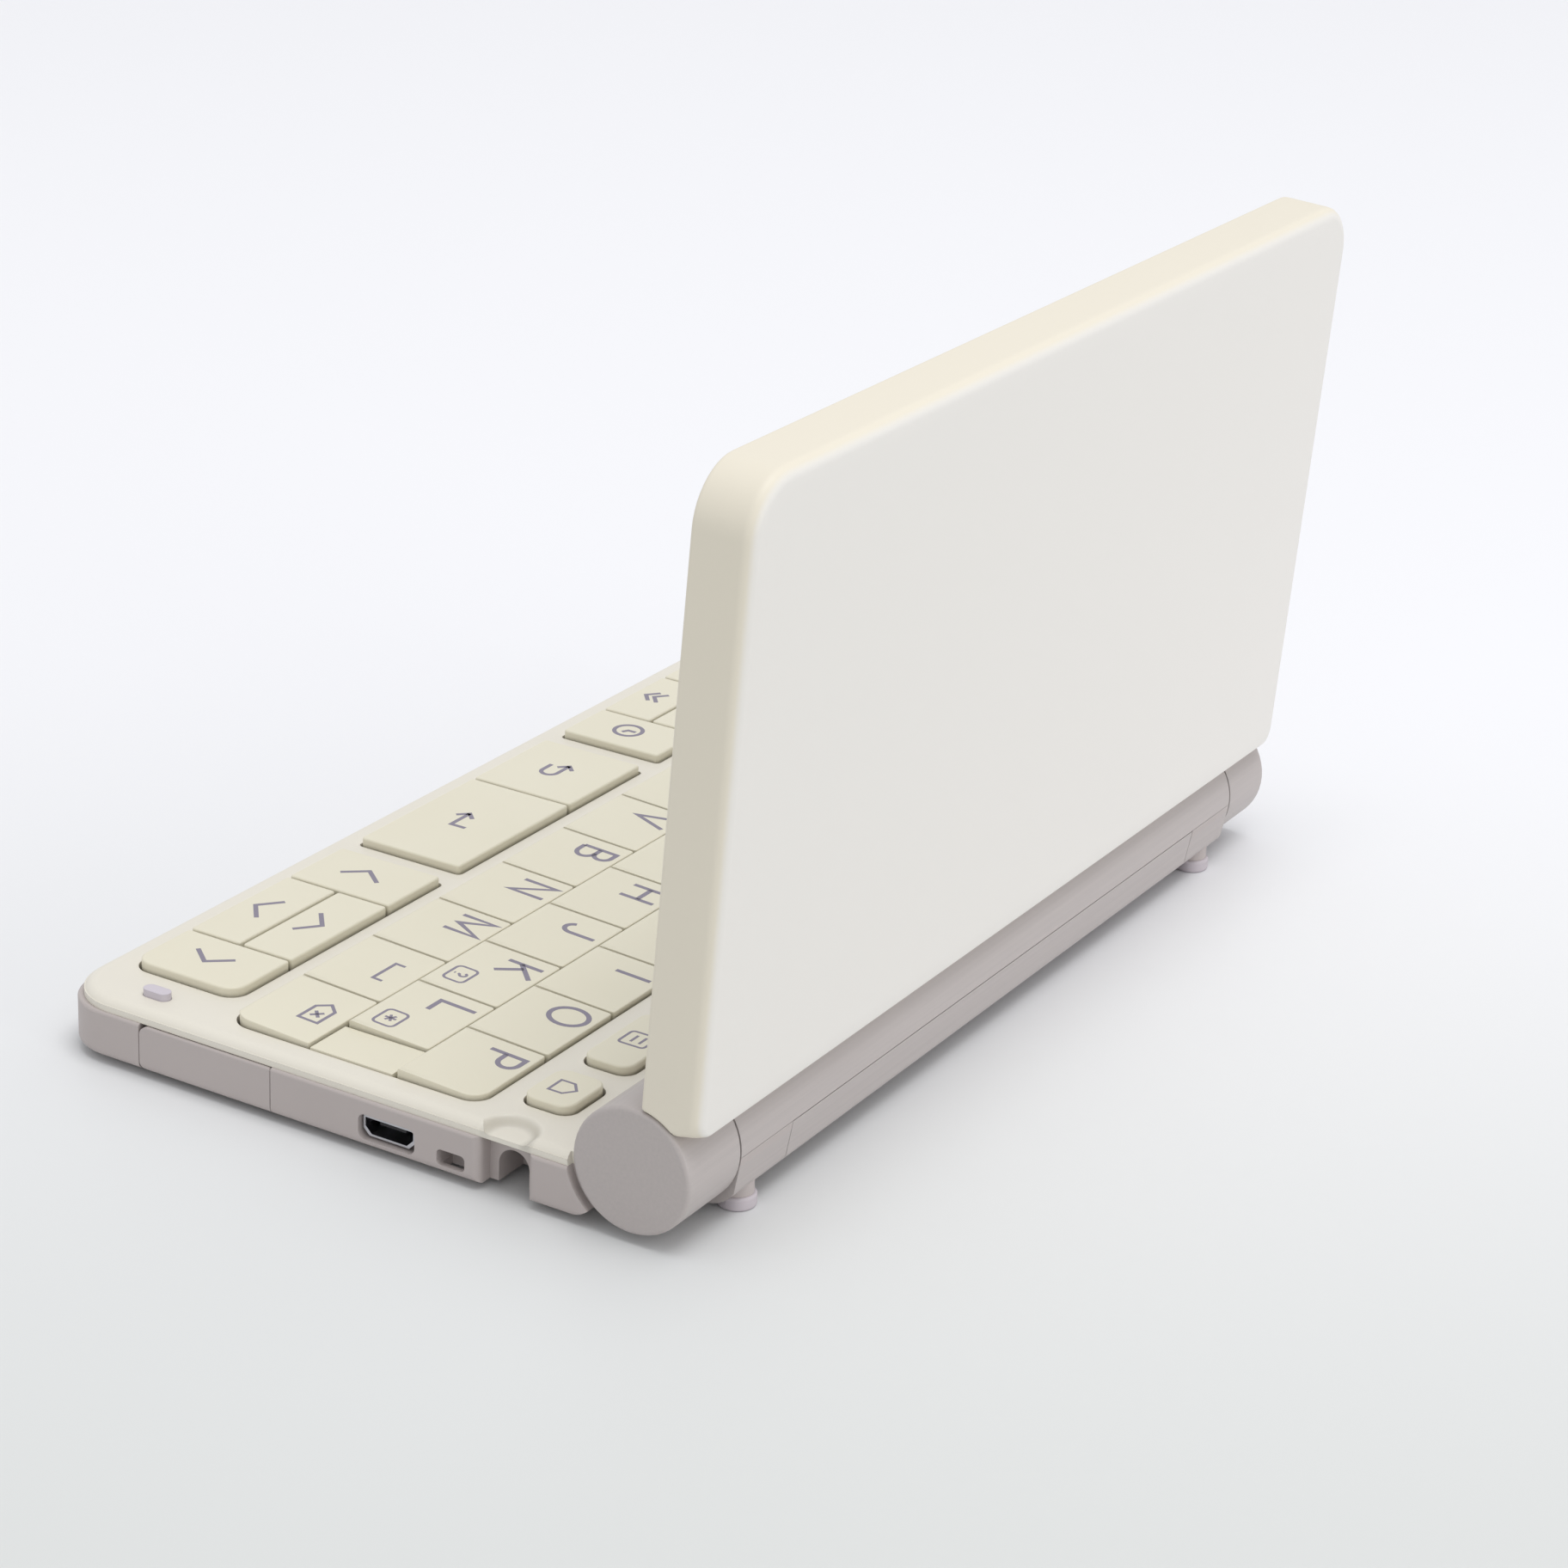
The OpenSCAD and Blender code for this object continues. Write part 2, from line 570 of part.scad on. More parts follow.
// Openings for the keys in the deck
module key_openings() {
    f = key_fit - key_gap / 2;
    c = key_fit;
    // the letter field with its two blank pads
    round_rect(-letters_half - f, letters_half + f, letters_y - f, letters_end + f,
        [for (r = LETTERS_PLAN) r + c]);
    y0 = front_row_y - c;
    y1 = front_row_end + c;
    s = soft_corner + c;
    m = key_mid_r + c;
    round_rect(arrow_x[3] - f, arrow_x[0] + f, y0, y1, [s, m, m, s]);
    round_rect(entry_x[2] - f, entry_x[0] + f, y0, y1, [s, s, s, s]);
    round_rect(tool_x[3] - f, tool_x[0] + f, y0, y1, [m, s, s, m]);
    for (k = REAR_KEYS, p = k[1])
        round_rect(p[0] - c, p[1] + c, p[2] - c, p[3] + c, [for (r = p[4]) r + c]);
}

// Section of the fingertip's dish: flat floor, cove, then a round rim, each arc turning 60 degrees
module scoop_section() {
    rim_r = 2 * scoop_depth - scoop_cove_r;
    x = scoop_r + sin(60) * scoop_cove_r;
    z = scoop_cove_r / 2;
    rim_x = x + sin(60) * rim_r;
    difference() {
        union() {
            polygon([[0, 0], [scoop_r, 0], [scoop_r, scoop_cove_r], [x, z], [rim_x, scoop_depth],
                [rim_x, 3], [0, 3]]);
            intersection() {
                translate([scoop_r, scoop_cove_r]) circle(scoop_cove_r);
                translate([scoop_r - 0.1, 0]) square([x - scoop_r + 0.1, scoop_cove_r]);
            }
        }
        translate([rim_x, scoop_depth - rim_r]) circle(rim_r);
    }
}

module base_top_case() color(CREAM) at_origin() difference() {
    union() {
        translate([0, 0, split_z]) soft_plate(-deck_side, deck_side, deck_inset, block_y,
            [deck_corner_r, deck_corner_r, 1.6, 1.6], deck_t, deck_round, 0);
        // lip that centres the deck in the lower case
        i = case_wall + seat_gap;
        translate([0, 0, split_z - lip_drop]) linear_extrude(lip_drop) difference() {
            round_rect(-half_w + i, half_w - i, i, notch_y - 8,
                [corner_r - i, corner_r - i, 1, 1]);
            round_rect(-half_w + i + lip_t, half_w - i - lip_t, i + lip_t, notch_y,
                [corner_r - i - lip_t, corner_r - i - lip_t, 1, 1]);
            for (p = screw_spots) translate([p[0], p[1]]) circle(boss_r + seat_gap);
        }
    }
    translate([0, 0, split_z - 5]) linear_extrude(10) key_openings();
    along_axis(-barrel_half - eps, barrel_half + eps, barrel_r + seat_gap);
    both_ends() {
        along_axis(barrel_half, half_w + 1, groove_r);
        along_axis(half_w - cove_w, half_w + 1, cove_r);
    }
    // scoop for the fingertip over the pen
    translate([half_w - 1.2, notch_y, deck_z - scoop_depth]) rotate_extrude() scoop_section();
    // pockets of the two bumpers
    both_ends() translate([0, 0, deck_z - nub_sink]) linear_extrude(5) nub_plan(0.05);
    // openings of the speaker
    for (i = [0 : grille_slots - 1])
        translate([grille_x + (i - (grille_slots - 1) / 2) * grille_step, grille_y, split_z - 1])
            linear_extrude(5) round_rect(-grille_slot_w / 2, grille_slot_w / 2,
                -grille_slot_h / 2, grille_slot_h / 2, [0.5, 0.5, 0.5, 0.5]);
    for (p = screw_spots) translate([p[0], p[1], split_z - 1])
        cylinder(h = 1 + deck_t / 2, r = screw_r);
}

// Upper half of the fixed middle part of the barrel
module barrel_cover() color(MAUVE) at_origin() difference() {
    along_axis(-barrel_half, barrel_half, barrel_r);
    along_axis(-barrel_half - 1, barrel_half + 1, bore_r);
    translate([-big / 2, axis_y - 20, 0]) cube([big, 40, barrel_split_z + 0.05]);
}

// Cover of the battery opening, the lower rear quarter of the barrel
module battery_cover() color(MAUVE) at_origin() difference() {
    along_axis(-cover_half, cover_half, barrel_r);
    along_axis(-barrel_half - 1, barrel_half + 1, bore_r);
    translate([-big / 2, axis_y - 20, barrel_split_z - door_gap]) cube([big, 40, 20]);
    translate([-big / 2, axis_y - 21, -5]) cube([big, 20, 30]);
}

// Two cells end to end, each with the tip of its positive end
module battery_cells() color("#7E8A92") at_origin() for (s = [0, 1])
    translate([s * (cell_len + 1.2) - cell_len - 0.9, axis_y, axis_z]) rotate([0, 90, 0]) {
        cylinder(h = cell_len, r = cell_r);
        cylinder(h = cell_len + 1, r = 2.7);
    }

// Plates at the two ends of the pair of cells, bent round the inside of the barrel
module battery_contacts() color("silver") at_origin() {
    for (s = [-1, 1]) translate([s > 0 ? cell_len + 1.6 : -cell_len - 1.2 - contact_t,
        axis_y, axis_z]) rotate([0, 90, 0]) {
        cylinder(h = contact_t, r = bore_r - 0.05);
        if (s < 0) translate([0, 0, contact_t - eps]) cylinder(h = 0.2, r = 1.6);
    }
}

module card_slot_cover() color(MAUVE) at_origin() difference() {
    intersection() {
        lower_form();
        translate([half_w - door_t, door_y, 0]) rotate([90, 0, 90])
            linear_extrude(door_t + 1)
                round_rect(0, door_len, foot_h, split_z - door_gap,
                    [door_r, door_r / 3, door_r / 3, door_r]);
    }
}

// Cage for the memory card, mouth towards the door
module card_socket() color("silver") at_origin() {
    w = door_len - 2 * card_side;
    y = door_y + card_side;
    x = half_w - case_wall - 0.2 - card_len;
    t = 0.2;
    difference() {
        translate([x, y, floor_z]) cube([card_len, w, board_lift]);
        translate([x + 1, y + 3 * t, floor_z + t]) cube([card_len, w - 6 * t, board_lift - 2 * t]);
    }
}

// Outline of the charging socket: wide at the top, with slanted lower corners
module usb_outline(inset) {
    w = usb_w / 2 - inset;
    h = usb_h / 2 - inset;
    c = 0.9;
    polygon([[-w + c, -h], [w - c, -h], [w, -h + c], [w, h], [-w, h], [-w, -h + c]]);
}

module usb_shell() color("silver") at_origin()
    translate([half_w - 0.6 - usb_len, usb_y, usb_z]) rotate([90, 0, 90]) difference() {
        linear_extrude(usb_len) usb_outline(0);
        translate([0, 0, 0.4]) linear_extrude(usb_len) usb_outline(usb_wall);
    }

module usb_tongue() color("#2A2A2C") at_origin()
    translate([half_w - 0.6 - usb_len + 0.4, usb_y - usb_w / 4, usb_z + 0.1])
        cube([usb_len - 1.2, usb_w / 2, 0.6]);

module circuit_board() color("#3E6B4F") at_origin() difference() {
    translate([-board_half, board_y0, board_z]) cube([2 * board_half, board_y1 - board_y0, board_t]);
    // space for the charging socket and the strap lug
    translate([half_w - 0.9 - usb_len, usb_y - usb_w / 2 - 0.3, board_z - 1])
        cube([big, big, board_t + 2]);
}

// Rubber sheet with one dome under each key, and strips on the shelves of the rear keys
module key_mat() color("#8A8F94") at_origin() {
    translate([shelf_x0 + 0.5, notch_y - pen_r, shelf_z])
        cube([rear_key_x[0] - shelf_x0 - 0.5, 2 * pen_r, strip_t]);
    translate([-rear_key_x[0], notch_y - pen_r, shelf_z])
        cube([rear_key_x[0] - rear_key_x[1], 2 * pen_r, strip_t]);
    translate([-mat_half, board_y0, mat_z]) cube([2 * mat_half, board_y1 - board_y0, mat_t]);
    for (k = concat(LETTER_KEYS, FRONT_KEYS), p = k[1])
        translate([(p[0] + p[1]) / 2, (p[2] + p[3]) / 2, mat_z])
            cylinder(h = dome_top_z - mat_z, r = dome_r);
}

// Blank pads at the ends of the middle letter row, each with a post that stands on the mat
module key_fillers() color(KEY) at_origin() both_ends() {
    x = letter_x(1, 9) + key_gap / 2;
    y = row_y(1) + key_gap / 2;
    translate([x, y, key_root_z])
        cube([key_pitch / 2 - key_gap / 2, row_pitch - key_gap, deck_z + pad_rise - key_root_z]);
    translate([x + 1, y + 1, mat_z + mat_t])
        cube([key_pitch / 4, row_pitch - key_gap - 2, key_root_z - mat_z - mat_t + eps]);
}

module speaker() color("#3A3A3C") at_origin()
    translate([grille_x, grille_y, split_z - speaker_h]) {
        cylinder(h = speaker_h - 0.8, r = speaker_r);
        cylinder(h = speaker_h, r = speaker_r - 1.5);
    }

// Flat pads at the front and round feet under the barrel
module rubber_feet() color("#A29B9B") at_origin() both_ends() {
    translate([pad_foot_x - pad_foot_w / 2 + 0.1, pad_foot_y - pad_foot_d / 2 + 0.1, 0])
        cube([pad_foot_w - 0.2, pad_foot_d - 0.2, foot_h + foot_sink]);
    translate([rear_foot_x, rear_foot_y, 0]) rotate_extrude()
        rim_section(rear_foot_r, collar_z, foot_edge_r, foot_edge_r);
}

// Plan of the bumper on the right, grown by g
module nub_plan(g) translate([nub_x, nub_y]) {
    w = nub_w / 2 + g;
    l = nub_len / 2 + g;
    round_rect(-w, w, -l, l, [w - eps, w - eps, w - eps, w - eps]);
}

// Small bumpers that the closed lid rests on
module deck_bumpers() color("#CFC6CF") at_origin() both_ends()
    translate([0, 0, deck_z - nub_sink]) linear_extrude(nub_sink + nub_rise) nub_plan(0);

module case_screws() color("silver") at_origin() for (p = screw_spots)
    translate([p[0], p[1], foot_h]) {
        cylinder(h = screw_head_t, r = screw_head_r);
        cylinder(h = split_z + deck_t / 2 - foot_h - 0.1, r = screw_r);
    }

// ---------- hinge ----------

// Friction sleeves fixed in the ends of the barrel
module hinge_sleeves() color("#8C8888") at_origin() both_ends() difference() {
    along_axis(barrel_half - sleeve_len, barrel_half - 0.1, bore_r - 0.1);
    along_axis(barrel_half - sleeve_len - 1, barrel_half + 1, pin_r + pin_fit);
}

module hinge_pins() color("silver") at_origin() both_ends()
    along_axis(barrel_half - pin_in, cap_x + pin_out, pin_r);

// Section of an end cap, from its inner end to its rounded outer disc
module cap_section() intersection() {
    square([barrel_r, cap_len]);
    union() {
        square([barrel_r, cap_len - cap_edge_r]);
        square([barrel_r - cap_edge_r, cap_len]);
        translate([barrel_r - cap_edge_r, cap_len - cap_edge_r]) circle(cap_edge_r);
    }
}

// End caps of the barrel, with the lugs that carry the lid
module hinge_end_caps() color(MAUVE) on_lid() both_ends() difference() {
    union() {
        translate([cap_x, 0, 0]) rotate([0, 90, 0]) rotate_extrude() cap_section();
        translate([half_w - lid_wall - 2.4 - lug_w, -lug_reach, lid_rim + lug_from])
            cube([lug_w, lug_reach, lug_to - lug_from]);
    }
    translate([cap_x - 1, 0, 0]) rotate([0, 90, 0]) cylinder(h = pin_out + 1, r = pin_r);
}

// ---------- lid ----------

module lid_back_shell() color(WHITE) on_lid() difference() {
    translate([0, 0, lid_rim]) soft_plate(-half_w, half_w, -lid_reach, -lid_heel,
        [corner_r, corner_r, lid_heel_r, lid_heel_r], lid_t, lid_edge_r, lid_inner_r);
    i = lid_wall;
    translate([0, 0, lid_rim - 1]) linear_extrude(lid_t + 1 - lid_back_t)
        round_rect(-half_w + i, half_w - i, -lid_reach + i, -lid_heel - i,
            [corner_r - i, corner_r - i, lid_heel_r - i, lid_heel_r - i]);
    // hollow of the hinge edge, clear of the fixed barrel and seated on the end caps
    rotate([0, 90, 0]) translate([0, 0, -barrel_half - turn_gap])
        cylinder(h = 2 * (barrel_half + turn_gap), r = groove_r);
    rotate([0, 90, 0]) translate([0, 0, -half_w - 1]) cylinder(h = body_w + 2, r = barrel_r + 0.03);
    both_ends() translate([half_w - i - 2.5 - lug_w, -lug_reach, lid_rim + lug_from - 0.1])
        cube([lug_w + 0.2, lug_reach, lug_to - lug_from + 0.2]);
}

// Frame of the screen, let into the shell below its rim
module lid_bezel() color(CREAM) on_lid() difference() {
    i = lid_wall + 0.1;
    translate([0, 0, bezel_in]) linear_extrude(bezel_t)
        round_rect(-half_w + i, half_w - i, -lid_reach + i, -lid_heel - i,
            [corner_r - i, corner_r - i, lid_heel_r - i, lid_heel_r - i]);
    translate([0, window_mid, bezel_in - 1]) linear_extrude(bezel_t + 2)
        round_rect(-window_w / 2, window_w / 2, -window_h / 2, window_h / 2,
            [window_r, window_r, window_r, window_r]);
}

module display_window() color("#20242A") on_lid() {
    w = window_w / 2 - window_gap;
    h = window_h / 2 - window_gap;
    r = window_r - window_gap;
    translate([0, window_mid, bezel_out - window_t - 0.1]) linear_extrude(window_t)
        round_rect(-w, w, -h, h, [r, r, r, r]);
}

module display_panel() color("#55605A") on_lid()
    translate([-window_w / 2 - display_rim, window_mid - window_h / 2 - 0.8, bezel_out])
        cube([window_w + 2 * display_rim, window_h + 1.6, display_t]);

// ---------- keys ----------

// Side view of a letter key: front edge rounded, top falling from z0 at the front to z1
module key_profile(p, root, z0, z1) {
    fall = atan((z0 - z1) / (p[3] - p[2]));
    y = p[2] + key_front_r;
    z = z0 - key_front_r * (tan(fall) + 1 / cos(fall));
    polygon([[p[2], root], [p[3], root], [p[3], z1],
        [y + sin(fall) * key_front_r, z + cos(fall) * key_front_r], [y, z], [p[2], z]]);
    translate([y, z]) circle(key_front_r);
}

module letter_keys(k) color(KEY) at_origin() for (p = k[1]) intersection() {
    translate([0, 0, key_root_z]) linear_extrude(key_top_z - key_root_z)
        round_rect(p[0], p[1], p[2], p[3], p[4]);
    translate([p[0] - 1, 0, 0]) rotate([90, 0, 90]) linear_extrude(p[1] - p[0] + 2)
        key_profile(p, key_root_z, key_top_z, key_top_z - key_slope);
}

// Flat key caps with rounded upper edges, from root to top
module flat_keys(k, root, top) color(KEY) at_origin() for (p = k[1])
    translate([0, 0, root]) soft_plate(p[0], p[1], p[2], p[3], p[4], top - root, key_edge_r, 0);

base_bottom_case();
base_top_case();
barrel_cover();
battery_cover();
battery_cells();
battery_contacts();
card_slot_cover();
card_socket();
usb_shell();
usb_tongue();
circuit_board();
key_mat();
key_fillers();
speaker();
rubber_feet();
deck_bumpers();
case_screws();
hinge_sleeves();
hinge_pins();
hinge_end_caps();
lid_back_shell();
lid_bezel();
display_panel();
display_window();
for (k = LETTER_KEYS) letter_keys(k);
for (k = FRONT_KEYS) flat_keys(k, key_root_z, deck_z + front_rise);
for (k = REAR_KEYS) flat_keys(k, rear_root_z, deck_z + rear_rise);
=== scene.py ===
"""Looks of the pocket electronic dictionary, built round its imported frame."""

import json
import math

import bmesh
import bpy
import numpy as np
from mathutils import Matrix, Vector

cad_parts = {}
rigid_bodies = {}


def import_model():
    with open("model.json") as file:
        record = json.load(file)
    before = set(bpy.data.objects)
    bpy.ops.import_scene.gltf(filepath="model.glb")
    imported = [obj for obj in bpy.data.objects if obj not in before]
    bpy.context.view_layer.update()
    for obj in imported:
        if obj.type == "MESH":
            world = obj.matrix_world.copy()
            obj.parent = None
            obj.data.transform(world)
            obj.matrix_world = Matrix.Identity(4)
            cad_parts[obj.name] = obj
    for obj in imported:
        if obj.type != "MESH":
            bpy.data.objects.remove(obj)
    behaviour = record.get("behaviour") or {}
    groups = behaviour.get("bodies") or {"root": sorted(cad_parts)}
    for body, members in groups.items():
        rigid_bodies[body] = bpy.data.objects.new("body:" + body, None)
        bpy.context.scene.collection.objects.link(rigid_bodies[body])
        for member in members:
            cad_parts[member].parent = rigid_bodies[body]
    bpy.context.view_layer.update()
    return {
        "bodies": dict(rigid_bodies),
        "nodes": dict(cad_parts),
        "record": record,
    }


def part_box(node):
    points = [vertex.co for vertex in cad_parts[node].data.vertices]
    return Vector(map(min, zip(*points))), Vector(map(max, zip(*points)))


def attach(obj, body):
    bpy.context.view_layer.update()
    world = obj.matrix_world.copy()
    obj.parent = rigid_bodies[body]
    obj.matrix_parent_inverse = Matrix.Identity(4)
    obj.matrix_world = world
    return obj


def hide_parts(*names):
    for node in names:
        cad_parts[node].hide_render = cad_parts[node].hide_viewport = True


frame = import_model()
nodes = frame["nodes"]

MM = 0.001

# ---------------------------------------------------------------------------
# Places read from the frame, in metres
# ---------------------------------------------------------------------------

case_low, case_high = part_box("base_bottom_case")
front_y = case_low.y
BARREL_R = 7.8 * MM
axis_point = Vector((0, case_high.y - BARREL_R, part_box("hinge_end_caps")[0].z + BARREL_R))

# the lid's own directions as it stands at rest: up its back, and out through its back
LID_TURN = math.radians(93.2)
lid_up = Vector((0, math.cos(math.pi - LID_TURN), math.sin(LID_TURN)))
lid_out = Vector((0, math.sin(LID_TURN), math.cos(LID_TURN)))

# bodies that the redrawn shells ride on
LID = [body for body in frame["bodies"] if "lid" in body][0]
BASE = [body for body in frame["bodies"] if "base" in body][0]
COVER = [body for body in frame["bodies"] if "battery" in body][0]


# ---------------------------------------------------------------------------
# Small helpers
# ---------------------------------------------------------------------------

def at(x, y, z):
    """Point in metres from millimetres: x from the middle, y from the base's front edge, z up."""
    return Vector((x * MM, front_y + y * MM, z * MM))


def linear(hex_colour):
    """sRGB hex value as the linear colour that the shaders take."""
    channels = [int(hex_colour[i:i + 2], 16) / 255 for i in (1, 3, 5)]
    return tuple(c / 12.92 if c <= 0.04045 else ((c + 0.055) / 1.055) ** 2.4 for c in channels) + (1.0,)


def add(tree, kind, inputs=None, **settings):
    """Adds a node. Settings are its properties or values by name. Inputs, by name or number, take a
    socket to link from, a hex colour or a plain value."""
    made = tree.nodes.new("ShaderNode" + kind)
    for name, value in settings.items():
        if hasattr(made, name):
            setattr(made, name, value)
        else:
            made.inputs[name.replace("_", " ")].default_value = value
    for name, value in (inputs or {}).items():
        if isinstance(value, bpy.types.NodeSocket):
            tree.links.new(value, made.inputs[name])
        else:
            made.inputs[name].default_value = linear(value) if isinstance(value, str) else value
    return made


def mesh_object(name, points, blocks, smooth=True):
    """Object at the origin whose mesh has these points in metres, its faces all facing outward. Each
    block is an array of corner numbers with one face to a row."""
    mesh = bpy.data.meshes.new(name)
    faces = [face for block in blocks for face in block.tolist()]
    mesh.from_pydata(np.asarray(points).tolist(), [], faces)
    shell = bmesh.new()
    shell.from_mesh(mesh)
    bmesh.ops.recalc_face_normals(shell, faces=shell.faces)
    shell.to_mesh(mesh)
    shell.free()
    mesh.validate()
    mesh.shade_smooth() if smooth else mesh.shade_flat()
    made = bpy.data.objects.new(name, mesh)
    bpy.context.scene.collection.objects.link(made)
    return made


def ring_faces(rings, count, closed_path=False):
    """Blocks of faces for closed rings of count points each: quads between successive rings, and one
    face over the first and the last ring unless the path of rings closes on itself."""
    i = np.arange(rings if closed_path else rings - 1)[:, None]
    j = np.arange(count)[None, :]
    a = i * count + j
    b = i * count + (j + 1) % count
    shift = ((i + 1) % rings - i) * count
    quads = np.stack([a, b, b + shift, a + shift], axis=-1).reshape(-1, 4)
    return [quads] if closed_path else [quads, j, (rings - 1) * count + j]


# ---------------------------------------------------------------------------
# Materials
# ---------------------------------------------------------------------------

# the Mix node's colour sockets by number, because other sockets share their names
MIX_FIRST, MIX_SECOND, MIX_RESULT = 6, 7, 2
# the tool's spark-eroded grain in millimetres, drawn coarser than the real one so that it shows, its
# strength, and the rounding that edges read as; the satin lid and the screen have less of it
GRAIN, RELIEF, EDGE = 0.35, 0.06, 0.12
SATIN_GRAIN, SATIN_RELIEF, SCREEN_RELIEF = 0.5, 0.02, 0.003
GRAIN_DEPTH = 0.05 * MM
# widths of a patch of colour, of a hairline across the barrel, and of a wipe mark on the window
CLOUD, HAIRLINE, WIPE = 22 * MM, 0.45 * MM, 14 * MM
# a hairline runs 1 / ALONG times as far along the barrel as across it
ALONG = 0.012
# the screen's cells, and the share of a cell that its dark line fills
CELL, LINE_SHARE = 0.24 * MM, 0.14
# how far out from the hinge axis the lid is cream, and from where it is white
CREAM_TO, WHITE_FROM = 7.6 * MM, 8.3 * MM
# middle of the fingertip's scoop in millimetres, the radii of its floor and rim, and its relief
SCOOP = (73.05, 66.0)
SCOOP_FLOOR_R, SCOOP_RIM_R, SCOOP_RELIEF = 1.9 * MM, 4.0 * MM, 0.9 * MM


def new_material(name):
    """Empty node material; returns it with its tree and the point on the object being shaded."""
    material = bpy.data.materials.new(name)
    material.use_nodes = True
    tree = material.node_tree
    tree.nodes.clear()
    return material, tree, add(tree, "TexCoord").outputs["Object"]


def surface(tree, colour, normal, roughness, specular=0.5, **settings):
    """Principled shader on the output."""
    shader = add(tree, "BsdfPrincipled", {"Base Color": colour, "Normal": normal},
                 Roughness=roughness, Specular_IOR_Level=specular, **settings)
    add(tree, "OutputMaterial", {"Surface": shader.outputs["BSDF"]})


def grain_normal(tree, place, size_mm, relief, edge_mm):
    """Normal with the tool's fine grain on it; edges read as rounded by edge_mm."""
    grain = add(tree, "TexNoise", {"Vector": place}, Scale=1 / (size_mm * MM), Detail=3.0, Roughness=0.6)
    bump = add(tree, "Bump", {"Height": grain.outputs["Fac"]}, Strength=relief, Distance=GRAIN_DEPTH)
    if edge_mm > 0:
        rounded = add(tree, "Bevel", samples=4, Radius=edge_mm * MM)
        tree.links.new(rounded.outputs["Normal"], bump.inputs["Normal"])
    return bump.outputs["Normal"]


def clouded(tree, place, colour, deeper):
    """One even colour that drifts a little towards a deeper one, in patches of CLOUD."""
    cloud = add(tree, "TexNoise", {"Vector": place}, Scale=1 / CLOUD, Detail=2.0)
    mix = add(tree, "Mix", {0: cloud.outputs["Fac"], MIX_FIRST: colour, MIX_SECOND: deeper},
              data_type="RGBA")
    return mix.outputs[MIX_RESULT]


def grained_finish(name, colour, deeper, roughness, edge_mm=EDGE, **settings):
    """Moulding, coating, rubber or film: one even colour with a faint cloud, under fine grain."""
    material, tree, place = new_material(name)
    normal = grain_normal(tree, place, GRAIN, RELIEF, edge_mm)
    surface(tree, clouded(tree, place, colour, deeper), normal, roughness, **settings)
    return material


def deck_moulding(name, colour, deeper, roughness):
    """Deck plastic: moulded ABS with extra relief in the fingertip's scoop at the right rear, which the
    solid holds shallower than the real one. The relief rises with the distance from its middle."""
    material, tree, place = new_material(name)
    flat = add(tree, "VectorMath", {0: place, 1: (1, 1, 0)}, operation="MULTIPLY")
    away = add(tree, "VectorMath", {0: flat.outputs["Vector"], 1: at(*SCOOP, 0)}, operation="DISTANCE")
    rise = add(tree, "MapRange", {"Value": away.outputs["Value"], "From Min": SCOOP_FLOOR_R,
                                  "From Max": SCOOP_RIM_R}, interpolation_type="SMOOTHSTEP")
    bowl = add(tree, "Bump", {"Height": rise.outputs["Result"],
                              "Normal": grain_normal(tree, place, GRAIN, RELIEF, EDGE)},
               Strength=1.0, Distance=SCOOP_RELIEF)
    surface(tree, clouded(tree, place, colour, deeper), bowl.outputs["Normal"], roughness)
    return material


def drawn_plastic(name, colour, deeper, roughness):
    """Barrel plastic: mauve ABS with hairlines along the barrel, such as a polished tool leaves."""
    material, tree, place = new_material(name)
    normal = grain_normal(tree, place, GRAIN, RELIEF, EDGE)
    stretched = add(tree, "VectorMath", {0: place, 1: (ALONG, 1, 1)}, operation="MULTIPLY")
    hairlines = add(tree, "TexNoise", {"Vector": stretched.outputs["Vector"]},
                    Scale=1 / HAIRLINE, Detail=3.0, Roughness=0.7)
    mix = add(tree, "Mix", {0: hairlines.outputs["Fac"], MIX_FIRST: colour, MIX_SECOND: deeper},
              data_type="RGBA")
    surface(tree, mix.outputs[MIX_RESULT], normal, roughness)
    return material


def lid_plastic(name, back, side):
    """Lid shell: satin white on its back plate, warm cream on the rim round it. The step between the
    two follows the distance out along the lid's thickness, measured from the hinge axis."""
    material, tree, place = new_material(name)
    depth = add(tree, "VectorMath", {0: place, 1: lid_out}, operation="DOT_PRODUCT")
    start = lid_out.dot(axis_point)
    step = add(tree, "MapRange", {"Value": depth.outputs["Value"], "From Min": start + CREAM_TO,
                                  "From Max": start + WHITE_FROM}, interpolation_type="SMOOTHSTEP")
    normal = grain_normal(tree, place, SATIN_GRAIN, SATIN_RELIEF, 0.0)
    mix = add(tree, "Mix", {0: step.outputs["Result"], MIX_FIRST: side, MIX_SECOND: back},
              data_type="RGBA")
    surface(tree, mix.outputs[MIX_RESULT], normal, roughness=0.46, specular=0.35)
    return material


